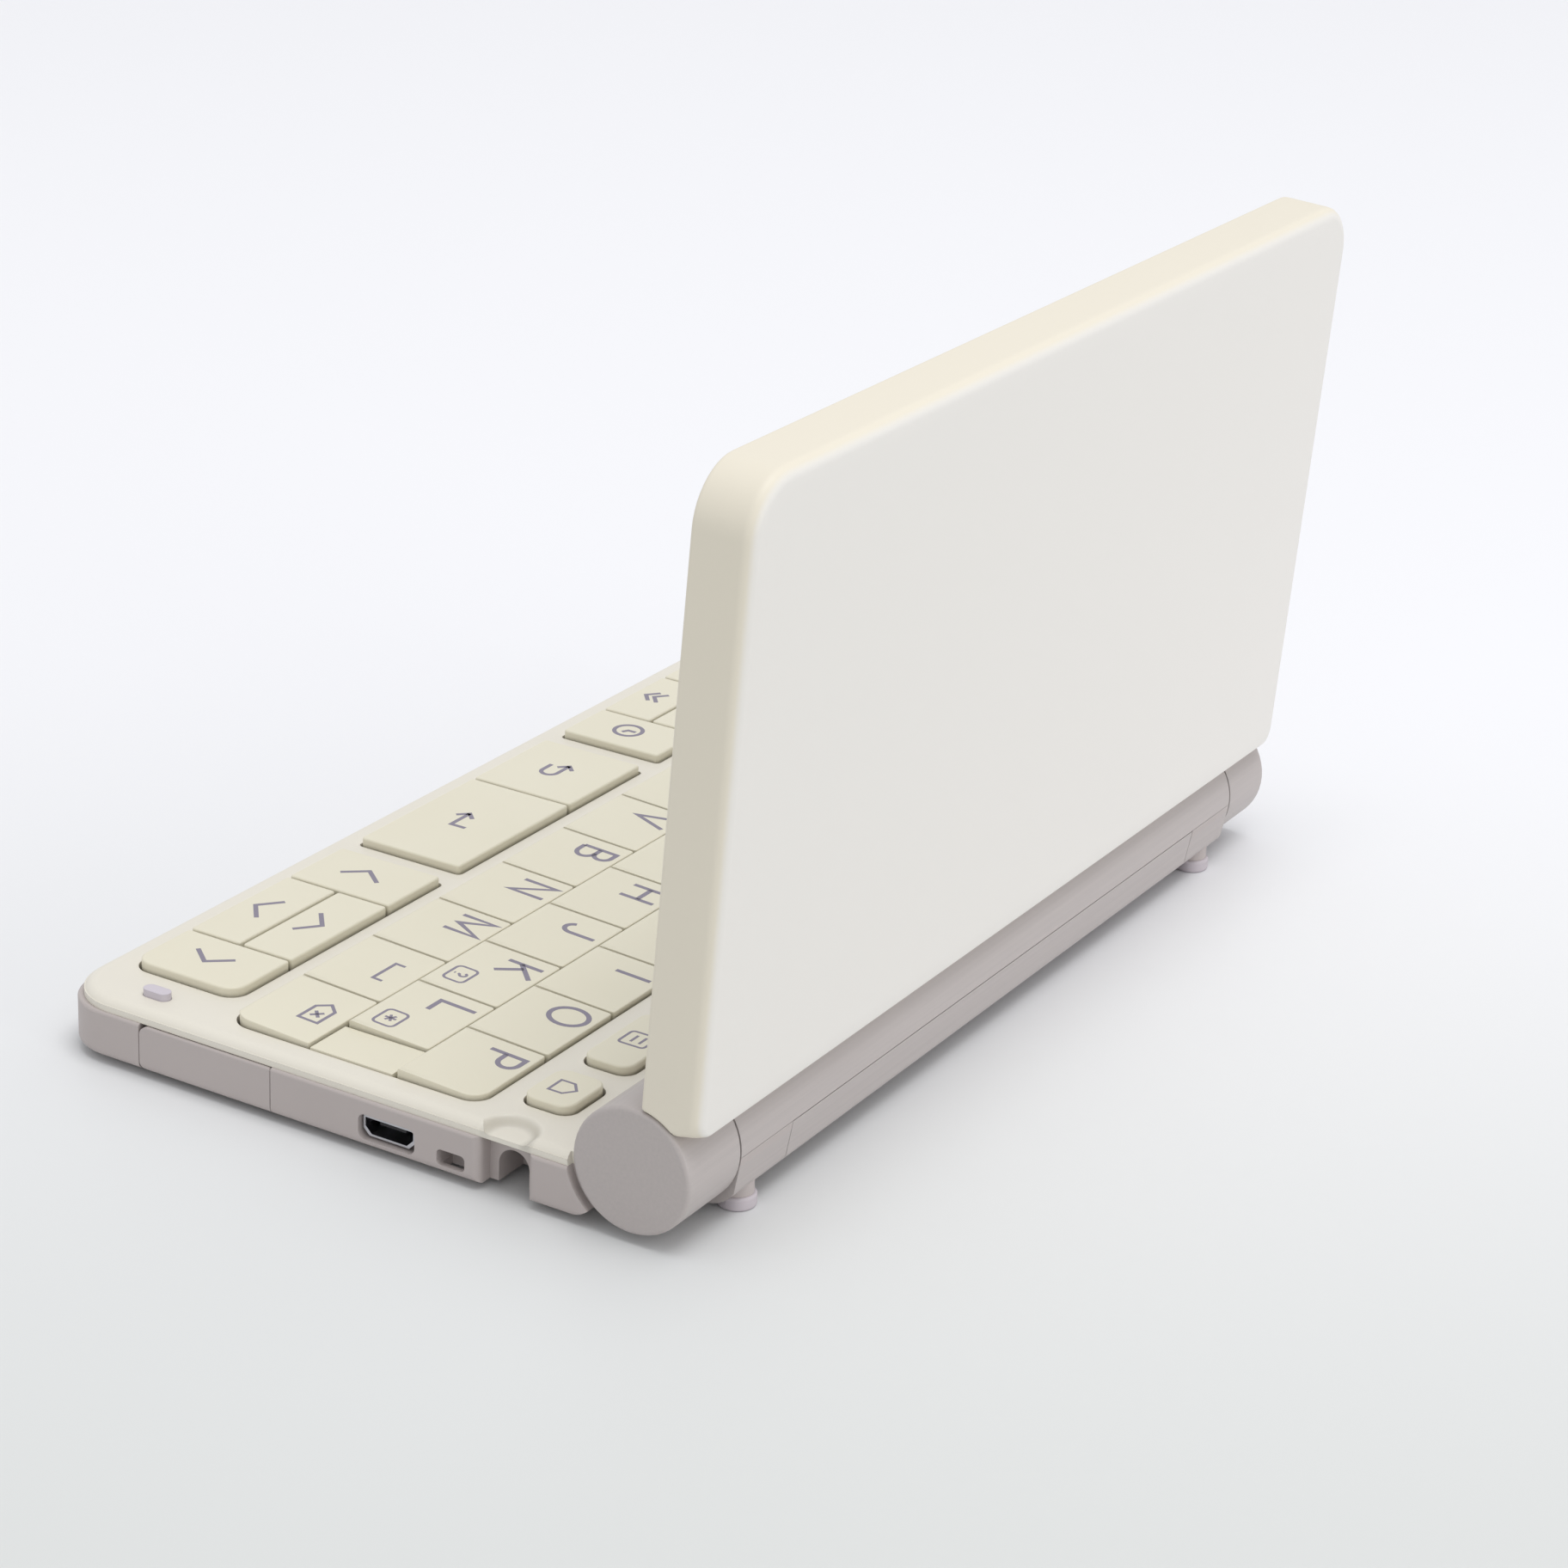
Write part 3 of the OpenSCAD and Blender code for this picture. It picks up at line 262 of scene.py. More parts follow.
def liquid_crystal(name, colour, line):
    """Screen at rest: grey-green cells in a square grid of darker lines. Both run along X and Z, and a
    line fills LINE_SHARE of each cell."""
    material, tree, place = new_material(name)
    along = add(tree, "SeparateXYZ", {"Vector": place})
    masks = []
    for axis in ("X", "Z"):
        wave = add(tree, "Math", {0: along.outputs[axis], 1: 1 / CELL}, operation="MULTIPLY")
        share = add(tree, "Math", {0: wave.outputs[0]}, operation="FRACT")
        masks.append(add(tree, "Math", {0: share.outputs[0], 1: LINE_SHARE}, operation="LESS_THAN"))
    either = add(tree, "Math", {i: mask.outputs[0] for i, mask in enumerate(masks)}, operation="MAXIMUM")
    mix = add(tree, "Mix", {0: either.outputs[0], MIX_FIRST: colour, MIX_SECOND: line},
              data_type="RGBA")
    normal = grain_normal(tree, place, SATIN_GRAIN, SCREEN_RELIEF, 0.0)
    surface(tree, mix.outputs[MIX_RESULT], normal, roughness=0.32)
    return material


def clear_window(name):
    """Hard clear plate over the screen: glossy, faintly tinted, with light wipe marks in its gloss."""
    material, tree, place = new_material(name)
    stretched = add(tree, "VectorMath", {0: place, 1: (1, 1, 3)}, operation="MULTIPLY")
    wipe = add(tree, "TexNoise", {"Vector": stretched.outputs["Vector"]}, Scale=1 / WIPE, Detail=2.0)
    haze = add(tree, "MapRange", {"Value": wipe.outputs["Fac"], "To Min": 0.03, "To Max": 0.09})
    shader = add(tree, "BsdfPrincipled", {"Roughness": haze.outputs["Result"], "Base Color": "#F2F5F6",
                                          "Transmission Weight": 1.0}, IOR=1.49)
    add(tree, "OutputMaterial", {"Surface": shader.outputs["BSDF"]})
    return material


# the deck's shell: even warm cream, soft light along its edges
deck_plastic = deck_moulding("cream_moulded_abs", "#E0DBD0", "#DCD7CA", 0.42)
# the lower case: the same grain in a greyed mauve, a shade duller
case_plastic = grained_finish("mauve_moulded_abs", "#B7AEAB", "#B1A8A5", 0.48)
# the barrel and its ends: mauve with fine lines along the barrel
barrel_plastic = drawn_plastic("mauve_drawn_abs", "#B9B1AE", "#ABA4A2", 0.42)
# the lid's shell: a plain satin white back framed by cream
lid_shell = lid_plastic("two_tone_lid_abs", "#E2DFDA", "#E0D9C9")
# the frame round the screen: cream, nearly matt
bezel_plastic = grained_finish("cream_bezel_abs", "#E8E3D6", "#E4DFD1", 0.5)
# the keys: yellower than the deck, with crisp edges
key_plastic = grained_finish("cream_key_abs", "#E0DBC8", "#DCD6C1", 0.44, edge_mm=0.05)
# the letters and signs: flat slate-violet ink
legend_ink = grained_finish("slate_pad_print", "#86808F", "#817B8A", 0.5, edge_mm=0.0)
# the two bumpers and the feet: dull lilac rubber, the least glossy pieces
rubber_soft = grained_finish("lilac_soft_rubber", "#CBC4CC", "#C5BEC6", 0.6)
foot_rubber = grained_finish("lilac_foot_rubber", "#C2BABF", "#BBB3B8", 0.62)
# springs, sleeves, pins, screws, card cage and the socket's shell: bright plated metal
plated_steel = grained_finish("plated_steel", "#C4C4C8", "#B4B4B8", 0.28, edge_mm=0.05, Metallic=1.0)
# the socket's tongue and the speaker: near black, half dull
black_plastic = grained_finish("black_moulded_lcp", "#232326", "#1D1D20", 0.5, edge_mm=0.05)
# pieces inside: green lacquer, grey silicone and the cells' printed film
board_lacquer = grained_finish("green_board_lacquer", "#2F5A43", "#29503B", 0.4)
mat_silicone = grained_finish("grey_silicone_sheet", "#8A8F94", "#83888D", 0.55)
cell_film = grained_finish("printed_cell_film", "#6F7A83", "#69747D", 0.3)
# the border printed behind the window: flat black
border_ink = grained_finish("black_screen_print", "#1B1D20", "#18191C", 0.4, edge_mm=0.0)
# the screen and the window over it: dull grey-green under gloss
panel_face = liquid_crystal("grey_liquid_crystal", "#6D766F", "#656E68")
window_plate = clear_window("clear_hard_window")

FINISHES = {
    "case_cream": deck_plastic, "case_mauve": case_plastic, "lid_white": lid_shell,
    "key_cream": key_plastic, "window_clear": window_plate, "panel_grey": panel_face,
    "battery_jacket": cell_film, "spring_steel": plated_steel, "sleeve_steel": plated_steel,
    "socket_black": black_plastic, "board_green": board_lacquer, "mat_rubber": mat_silicone,
    "foot_rubber": foot_rubber, "bumper_lilac": rubber_soft,
}
OWN_FINISH = {"barrel_cover": barrel_plastic, "hinge_end_caps": barrel_plastic,
              "battery_cover": barrel_plastic, "lid_bezel": bezel_plastic}
for part in frame["record"]["subparts"]:
    mesh = nodes[part["node"]].data
    mesh.materials.clear()
    mesh.materials.append(OWN_FINISH.get(part["node"], FINISHES[part["material_slot"]]))


# ---------------------------------------------------------------------------
# Key caps
# ---------------------------------------------------------------------------

def rounded_outline(x0, x1, y0, y1, radii, steps=7):
    """Closed outline of a rectangle with its own radius at each corner, from the front left corner on."""
    corners = [(x0, y0, 1, 1, 180), (x1, y0, -1, 1, 270), (x1, y1, -1, -1, 0), (x0, y1, 1, -1, 90)]
    arcs = []
    for (x, y, sx, sy, start), r in zip(corners, radii):
        angle = np.radians(start + np.linspace(0, 90, steps))
        arcs.append(np.stack([x + sx * r + r * np.cos(angle), y + sy * r + r * np.sin(angle)], axis=1))
    return np.concatenate(arcs)


def quarter_drop(radius, inward):
    """How far a quarter circle of this radius lies below its top, inward from its wall."""
    short = np.maximum(radius - inward, 0)
    return radius - np.sqrt(np.maximum(radius ** 2 - short ** 2, 0))


def top_plane(box, slope, front_r):
    """Height of a cap's top at x, y: a plane that falls by slope from the front to the rear."""
    (x0, y0, z0), (x1, y1, z1) = box
    fall = slope / (y1 - y0)
    return lambda y: z1 + fall * front_r - fall * (y - y0)


def key_cap(box, radii, slope, edge, front_r):
    """Cap as rings of its plan outline: up the wall, then inward over the rounded edges, then to the
    middle. A ring's height is the top plane less the larger of two quarter circles, one of radius
    edge all round and one of radius front_r along the front."""
    (x0, y0, z0), (x1, y1, z1) = box
    plane = top_plane(box, slope, front_r if slope else 0)
    turn = np.radians(np.linspace(0, 90, 6))
    insets = np.concatenate([edge * (1 - np.cos(turn)), np.linspace(edge, max(front_r, edge) * 1.08, 5)[1:]])
    rings = []
    for inward in insets:
        r = [max(v - inward, LEAST_R) for v in radii]
        flat = rounded_outline(x0 + inward, x1 - inward, y0 + inward, y1 - inward, r)
        drop = np.maximum(quarter_drop(edge, inward), quarter_drop(front_r, flat[:, 1] - y0))
        rings.append(np.column_stack([flat, plane(flat[:, 1]) - drop]))
    wall = rings[0].copy()
    wall[:, 2] = z0
    middle = np.array([(x0 + x1) / 2, (y0 + y1) / 2, plane((y0 + y1) / 2)])
    inner = [middle + (rings[-1] - middle) * share for share in (0.75, 0.4, 0.1)]
    rings = [wall] + rings + inner
    return np.concatenate(rings), ring_faces(len(rings), len(wall))


SMALL, SOFT, REAR, MIDDLE, BIG = 0.4 * MM, 0.5 * MM, 1.8 * MM, 2.4 * MM, 2.9 * MM
LEAST_R = 0.02 * MM
# corner radii that differ from SMALL: node, corner number counted from the front left, radius
CORNERS = {
    "keys_q_w_e": {3: MIDDLE}, "key_p": {2: MIDDLE}, "keys_shift_z": {0: BIG}, "key_delete": {1: BIG},
    "key_right": {1: MIDDLE, 2: MIDDLE}, "key_left": {0: SOFT, 3: SOFT},
    "key_enter": {1: SOFT, 2: SOFT}, "key_back": {0: SOFT, 3: SOFT},
    "key_history": {1: SOFT, 2: SOFT}, "key_mark": {0: MIDDLE, 3: MIDDLE},
}
REAR_KEYS = ["key_home", "key_notebook", "key_library", "key_jump", "key_search", "key_power"]
KEY_GAP, CAP_INSET = 0.3 * MM, 0.07 * MM
# how far a letter key's top falls to the rear, and the radii of the caps' edges
LETTER_FALL = 0.6 * MM
LETTER_EDGE, LETTER_FRONT, FLAT_EDGE = 0.14 * MM, 0.8 * MM, 0.3 * MM


def key_boxes(node, count):
    """Boxes of the caps in one node, side by side with the key gap between them, a hair small."""
    low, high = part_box(node)
    width = (high.x - low.x - (count - 1) * KEY_GAP) / count
    lefts = [low.x + i * (width + KEY_GAP) for i in range(count)]
    return [((x + CAP_INSET, low.y + CAP_INSET, low.z), (x + width - CAP_INSET, high.y - CAP_INSET, high.z))
            for x in lefts]


def joined(parts):
    """Points and blocks of faces of several meshes as one."""
    starts = np.cumsum([0] + [len(points) for points, blocks in parts])
    blocks = [block + start for (points, own), start in zip(parts, starts) for block in own]
    return np.concatenate([points for points, own in parts]), blocks


def make_caps(node, count, slope, edge, front_r):
    """One object with the caps of a node, standing for it."""
    caps = []
    for i, box in enumerate(key_boxes(node, count)):
        radii = [REAR if node in REAR_KEYS else SMALL] * 4
        for corner, r in CORNERS.get(node, {}).items():
            if (corner in (0, 3) and i == 0) or (corner in (1, 2) and i == count - 1):
                radii[corner] = r
        caps.append(key_cap(box, radii, slope, edge, front_r))
    made = mesh_object("cap_" + node, *joined(caps))
    made.data.materials.append(key_plastic)
    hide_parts(node)
    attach(made, node)


# ---------------------------------------------------------------------------
# Legends: single letters, and plain signs in the place of words
# ---------------------------------------------------------------------------

def arc(x, y, rx, ry, start, end, steps=17):
    """Points along an ellipse about x, y between two angles in degrees."""
    angle = np.radians(np.linspace(start, end, steps))
    return np.stack([x + rx * np.cos(angle), y + ry * np.sin(angle)], axis=1)


def line(*pieces):
    """One path from single points and stretches of points."""
    return np.concatenate([np.atleast_2d(np.array(p, float)) for p in pieces])


# strokes of each letter, one unit high
GLYPHS = {
    "A": [line((0, 0), (0.4, 1), (0.8, 0)), line((0.14, 0.34), (0.66, 0.34))],
    "B": [line((0, 0), (0, 1), (0.28, 1), arc(0.28, 0.76, 0.25, 0.24, 90, -90), (0, 0.52)),
          line((0.28, 0.52), arc(0.28, 0.26, 0.32, 0.26, 90, -90), (0, 0))],
    "C": [arc(0.47, 0.5, 0.45, 0.5, 46, 314)],
    "D": [line((0, 0), (0, 1), (0.22, 1), arc(0.22, 0.5, 0.47, 0.5, 90, -90), (0, 0))],
    "E": [line((0.58, 1), (0, 1), (0, 0), (0.6, 0)), line((0, 0.52), (0.52, 0.52))],
    "F": [line((0.58, 1), (0, 1), (0, 0)), line((0, 0.52), (0.52, 0.52))],
    "G": [line(arc(0.46, 0.5, 0.45, 0.5, 46, 352), (0.9, 0.47), (0.54, 0.47))],
    "H": [line((0, 0), (0, 1)), line((0.68, 0), (0.68, 1)), line((0, 0.52), (0.68, 0.52))],
    "I": [line((0, 0), (0, 1))],
    "J": [line((0.46, 1), (0.46, 0.27), arc(0.22, 0.27, 0.24, 0.27, 0, -160))],
    "K": [line((0, 0), (0, 1)), line((0.62, 1), (0, 0.38)), line((0.2, 0.57), (0.66, 0))],
    "L": [line((0, 1), (0, 0), (0.58, 0))],
    "M": [line((0, 0), (0, 1), (0.43, 0.15), (0.86, 1), (0.86, 0))],
    "N": [line((0, 0), (0, 1), (0.7, 0), (0.7, 1))],
    "O": [arc(0.45, 0.5, 0.45, 0.5, 90, 450, 33)],
    "P": [line((0, 0), (0, 1), (0.3, 1), arc(0.3, 0.73, 0.29, 0.27, 90, -90), (0, 0.46))],
    "Q": [arc(0.45, 0.5, 0.45, 0.5, 90, 450, 33), line((0.58, 0.24), (0.9, -0.06))],
    "R": [line((0, 0), (0, 1), (0.3, 1), arc(0.3, 0.74, 0.28, 0.26, 90, -90), (0, 0.48)),
          line((0.3, 0.48), (0.62, 0))],
    "S": [line(arc(0.3, 0.745, 0.26, 0.255, 20, 270), arc(0.3, 0.245, 0.29, 0.245, 89, -160))],
    "T": [line((0, 1), (0.72, 1)), line((0.36, 1), (0.36, 0))],
    "U": [line((0, 1), (0, 0.34), arc(0.34, 0.34, 0.34, 0.34, 180, 360), (0.68, 1))],
    "V": [line((0, 1), (0.37, 0), (0.74, 1))],
    "W": [line((0, 1), (0.27, 0), (0.53, 0.9), (0.79, 0), (1.06, 1))],
    "X": [line((0, 0), (0.68, 1)), line((0, 1), (0.68, 0))],
    "Y": [line((0, 1), (0.36, 0.5), (0.72, 1)), line((0.36, 0.5), (0.36, 0))],
    "Z": [line((0.04, 1), (0.64, 1), (0, 0), (0.66, 0))],
}


def shifted(strokes, x, y, size=1.0):
    """Strokes scaled by size and moved."""
    return [s * size + (x, y) for s in strokes]


def letter_strokes(letter, x, y, height=5.0):
    """Strokes of a letter in millimetres, its middle at x, y."""
    points = np.concatenate(GLYPHS[letter])
    middle = (points.min(axis=0) + points.max(axis=0)) / 2
    return [(s - middle) * height + (x, y) for s in GLYPHS[letter]]


def frame_strokes(x, y, w=3.9, h=3.0, r=0.7):
    """Rounded rectangle about x, y."""
    outline = rounded_outline(x - w / 2, x + w / 2, y - h / 2, y + h / 2, [r] * 4, 5)
    return [line(outline, outline[0])]


CHEVRON = [line((-1.2, 2.9), (1.2, 0), (-1.2, -2.9))]
STAR = [line((0, -0.8), (0, 0.8)), line((-0.7, -0.4), (0.7, 0.4)), line((-0.7, 0.4), (0.7, -0.4))]
QUERY = [line(arc(0, 0.35, 0.45, 0.45, 170, -60), (0, -0.2), (0, -0.4)), line((0, -0.75), (0, -0.95))]
# plain signs in millimetres about their middle
SIGNS = {
    "right": CHEVRON,
    "left": [s * (-1, 1) for s in CHEVRON],
    "up": [line((-2.9, -1.2), (0, 1.2), (2.9, -1.2))],
    "down": [line((-2.9, 1.2), (0, -1.2), (2.9, 1.2))],
    "enter": [line((2.3, 1.7), (2.3, -0.6), (-2.0, -0.6)), line((-0.7, 0.7), (-2.0, -0.6), (-0.7, -1.9))],
    "back": [line((-2.0, 0.8), (1.0, 0.8), arc(1.0, -0.4, 1.2, 1.2, 90, -90), (-1.2, -1.6)),
             line((-0.8, 2.0), (-2.0, 0.8), (-0.8, -0.4))],
    "history": [arc(0, 0, 2.0, 2.0, 90, 450, 33), line((0, 1.2), (0, 0), (0.9, -0.5))],
    "page_up": [line((-1.7, -1.3), (0, 0.1), (1.7, -1.3)), line((-1.7, 0.1), (0, 1.5), (1.7, 0.1))],
    "page_down": [line((-1.7, 1.3), (0, -0.1), (1.7, 1.3)), line((-1.7, -0.1), (0, -1.5), (1.7, -0.1))],
    "mark": [line((-1.2, 2.0), (1.2, 2.0), (1.2, -2.0), (0, -0.9), (-1.2, -2.0), (-1.2, 2.0))],
    "home": [line((-1.4, -1.4), (1.4, -1.4), (1.4, 0.5), (0, 1.6), (-1.4, 0.5), (-1.4, -1.4))],
    "notebook": frame_strokes(0, 0, 3.4, 3.6, 0.5) + [line((-0.9, 0.7), (0.9, 0.7)),
                                                      line((-0.9, -0.5), (0.9, -0.5))],
    "library": [line((0, -1.5), (0, 1.3), (-2.2, 1.7), (-2.2, -1.1), (0, -1.5), (2.2, -1.1), (2.2, 1.7),
                     (0, 1.3))],
    "jump": [line((-2.0, 0), (1.4, 0)), line((0.2, 1.3), (1.5, 0), (0.2, -1.3)),
             line((2.3, 1.6), (2.3, -1.6))],
    "search": [arc(-0.4, 0.4, 1.3, 1.3, -45, 315, 33), line((0.55, -0.55), (1.8, -1.8))],
    "power": [arc(0, 0, 1.5, 1.5, 120, 420, 25), line((0, 0.3), (0, 1.9))],
    "space": [line((-2.4, 0.7), (-2.4, -0.7), (2.4, -0.7), (2.4, 0.7))],
    "delete": [line((-2.6, 0), (-1.3, 1.4), (2.2, 1.4), (2.2, -1.4), (-1.3, -1.4), (-2.6, 0)),
               line((-0.3, 0.6), (1.0, -0.6)), line((-0.3, -0.6), (1.0, 0.6))],
    "shift": [line((-1.0, -1.6), (-1.0, 0), (-2.0, 0), (0, 2.0), (2.0, 0), (1.0, 0), (1.0, -1.6),
                   (-1.0, -1.6))],
}


# how deep the ink reaches below a cap's top, how far it stands above it, and the shortest stretch
INK_SUNK, INK_PROUD, SHORTEST = 0.02 * MM, 0.012 * MM, 0.01 * MM


def ribbon(path, width, height_at):
    """Band of ink along a path: a flat rectangular section whose sides stand off the path by half the
    width along the mitre of the two stretches that meet at each point."""
    path = path[np.append(True, np.linalg.norm(np.diff(path, axis=0), axis=1) > SHORTEST)]
    closed = np.allclose(path[0], path[-1], atol=SHORTEST / 10)
    path = path[:-1] if closed else path
    ahead = np.roll(path, -1, axis=0) - path
    if not closed:
        ahead[-1] = ahead[-2]
    ahead /= np.linalg.norm(ahead, axis=1, keepdims=True)
    behind = np.roll(ahead, 1, axis=0)
    if not closed:
        behind[0] = ahead[0]
    left = np.stack([-ahead[:, 1], ahead[:, 0]], axis=1)
    mitre = left + np.stack([-behind[:, 1], behind[:, 0]], axis=1)
    mitre /= np.linalg.norm(mitre, axis=1, keepdims=True)
    reach = mitre * width / 2 / np.maximum(np.sum(mitre * left, axis=1, keepdims=True), 0.4)
    corners = []
    for side, lift in ((1, -INK_SUNK), (-1, -INK_SUNK), (-1, INK_PROUD), (1, INK_PROUD)):
        edge = path + side * reach
        corners.append(np.column_stack([edge, height_at(edge[:, 1]) + lift]))
    return np.stack(corners, axis=1).reshape(-1, 3), ring_faces(len(path), 4, closed)


def make_legends(node, marks, slope, front_r):
    """One object with the print on a node's caps. marks holds, key by key, pairs of strokes in
    millimetres from the key's middle and the width of those strokes in millimetres."""
    bands = []
    for box, key_marks in zip(key_boxes(node, len(marks)), marks):
        (x0, y0, z0), (x1, y1, z1) = box
        plane = top_plane(box, slope, front_r if slope else 0)
        middle = np.array([(x0 + x1) / 2, (y0 + y1) / 2])
        for strokes, width in key_marks:
            bands += [ribbon(middle + s * MM, width * MM, plane) for s in strokes]
    made = mesh_object("legend_" + node, *joined(bands), smooth=False)
    made.data.materials.append(legend_ink)
    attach(made, node)


# stroke widths in millimetres: letters, front-row signs, signs on letter keys, and fine signs
INK, FRONT_INK, SIGN_INK, FINE_INK = 0.66, 0.62, 0.45, 0.36
# places of the print in millimetres from the middle of the key
LETTER_AT, SIGN_AT, FRONT_AT = (-2.75, 2.35), (0, 2.2), (-0.3, -0.4)
# letters and signs of each node of letter keys, from left to right
LETTERS = {
    "keys_q_w_e": ["Q", "W", "E"], "keys_r_t_y": ["R", "T", "Y"], "key_u": ["U"], "key_i": ["I"],
    "key_o": ["O"], "key_p": ["P"], "keys_a_s": ["A", "S"], "keys_d_f_g": ["D", "F", "G"],
    "key_h": ["H"], "key_j": ["J"], "key_k": ["K"], "key_l": ["L"], "keys_shift_z": ["shift", "Z"],
    "keys_x_c": ["X", "C"], "key_v": ["V"], "key_b": ["B"], "key_n": ["N"], "key_m": ["M"],
    "key_space": ["space"], "key_delete": ["delete"],
}
SMALL_SIGNS = {"key_k": shifted(QUERY, 2.7, -2.4) + frame_strokes(2.7, -2.4),
               "key_l": shifted(STAR, 3.4, -2.1) + frame_strokes(3.4, -2.1)}
for node, letters in LETTERS.items():
    make_caps(node, len(letters), LETTER_FALL, LETTER_EDGE, LETTER_FRONT)
    marks = []
    for name in letters:
        big = letter_strokes(name, *LETTER_AT) if name in GLYPHS else shifted(SIGNS[name], *SIGN_AT)
        marks.append([(big, INK if name in GLYPHS else SIGN_INK)])
    if node in SMALL_SIGNS:
        marks[0].append((SMALL_SIGNS[node], FINE_INK))
    make_legends(node, marks, LETTER_FALL, LETTER_FRONT)
for node in frame["nodes"]:
    sign = SIGNS.get(node[4:]) if node.startswith("key_") and node not in LETTERS else None
    if sign:
        make_caps(node, 1, 0.0, FLAT_EDGE, FLAT_EDGE)
        mark = (sign, FINE_INK) if node in REAR_KEYS else (shifted(sign, *FRONT_AT), FRONT_INK)
        make_legends(node, [[mark]], 0.0, FLAT_EDGE)


# ---------------------------------------------------------------------------
# Lid, screen border and lower barrel
# ---------------------------------------------------------------------------

# height of the lid's heel above the hinge axis, and the radius on which it clears the barrel
HEEL, HEEL_ARC = 6.0 * MM, 7.86 * MM
# radius of the heel's corners: sharp up to HEEL_FROM out from the axis, and round HEEL_RUN beyond it
SHARP_HEEL, ROUND_HEEL, HEEL_FROM, HEEL_RUN = 0.7 * MM, 3.0 * MM, 4.5 * MM, 3.0 * MM
# radius of the lid's two upper corners
LID_CORNER = 7 * MM
# power of the lower barrel's fuller curve, and the angle below straight back where it leaves the circle
FULLER = 3.2
SQUARE_FROM = math.radians(10)
# walls of the battery cover and of the skins beside it, the seam between them, and how far the skins
# end short of the barrel
COVER_WALL, SKIN_WALL, COVER_SEAM, SKIN_END = 0.6 * MM, 0.3 * MM, 0.1 * MM, 0.02 * MM


def lid_points(x, up, out):
    """Points in metres from the lid's own places: across, up its back from the axis, and out."""
    return np.column_stack([x, axis_point.y + lid_up.y * up + lid_out.y * out,
                            axis_point.z + lid_up.z * up + lid_out.z * out])


def lid_cover():
    """Back shell of the lid as rings of its plan outline, from the middle of its inner ceiling, down its
    inner wall, over the rim, up the outer wall, round the back edge, to the middle of its back. The
    outline's hinge side lies on an arc just clear of the barrel, or on the heel where that is further
    from the axis, so the heel follows the barrel round."""
    mesh = nodes["lid_back_shell"].data
    place = np.empty(len(mesh.vertices) * 3)
    mesh.vertices.foreach_get("co", place)
    place = place.reshape(-1, 3) - np.array(axis_point)
    x1, top, back = place[:, 0].max(), (place @ np.array(lid_up)).max(), (place @ np.array(lid_out)).max()
    wall, inner_r, outer_r = 1.6 * MM, 0.5 * MM, 1.5 * MM
    rim, ceiling = 0.6 * MM, back - 1.2 * MM
    turn = np.radians(np.linspace(0, 90, 9))
    steps = [(wall, ceiling), (wall, rim + 2 * MM), (wall, rim)]
    steps += [(inner_r * (1 - math.sin(t)), rim + inner_r * (1 - math.cos(t))) for t in turn]
    steps += [(0.0, out) for out in np.linspace(rim + inner_r, back - outer_r, 16)[1:]]
    steps += [(outer_r * (1 - math.cos(t)), back - outer_r * (1 - math.sin(t))) for t in turn[1:]]

    def outline(inset, out, share=1.0):
        """Ring at a distance out and inset from the lid's edge, drawn in to a share about its middle."""
        low = max(HEEL, math.sqrt(max(HEEL_ARC ** 2 - out ** 2, 0))) + inset * 0.5
        roundness = min(max((out - HEEL_FROM) / HEEL_RUN, 0), 1)
        heel_r = SHARP_HEEL + (ROUND_HEEL - SHARP_HEEL) * roundness
        radii = [max(r - inset, 0.3 * MM) for r in (heel_r, heel_r, LID_CORNER, LID_CORNER)]
        flat = rounded_outline(-x1 + inset, x1 - inset, low, top - inset, radii, 12)
        flat = (0, (low + top) / 2) + (flat - (0, (low + top) / 2)) * share
        return lid_points(flat[:, 0], flat[:, 1], np.full(len(flat), out))

    rings = [outline(*steps[0], share) for share in (0.05, 0.5)] + [outline(*step) for step in steps]
    rings += [outline(*steps[-1], share) for share in (0.96, 0.5, 0.05)]
    made = mesh_object("lid_cover", np.concatenate(rings), ring_faces(len(rings), len(rings[0])))
    made.data.materials.append(lid_shell)
    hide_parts("lid_back_shell")
    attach(made, LID)


def screen_border():
    """Dark print behind the window's rim: a flat ring between two rounded outlines, four sections
    round the ring's rectangle, just in front of the screen."""
    mesh = nodes["display_window"].data
    place = np.empty(len(mesh.vertices) * 3)
    mesh.vertices.foreach_get("co", place)
    place = place.reshape(-1, 3)
    up = (place - axis_point) @ np.array(lid_up)
    out = (place - axis_point) @ np.array(lid_out)
    near = out.max()
    x1, u0, u1 = place[:, 0].max(), up.min(), up.max()
    rim, side = 0.3 * MM, 3.2 * MM
    outer = rounded_outline(-x1 + rim, x1 - rim, u0 + rim, u1 - rim, [1.2 * MM] * 4)
    inner = rounded_outline(-x1 + side, x1 - side, u0 + side, u1 - side, [0.4 * MM] * 4)
    layers = [lid_points(o[:, 0], o[:, 1], near + lift * MM)
              for o, lift in ((outer, 0.03), (inner, 0.03), (inner, 0.07), (outer, 0.07))]
    made = mesh_object("screen_border", np.concatenate(layers), ring_faces(4, len(outer), True),
                       smooth=False)
    made.data.materials.append(border_ink)
    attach(made, LID)


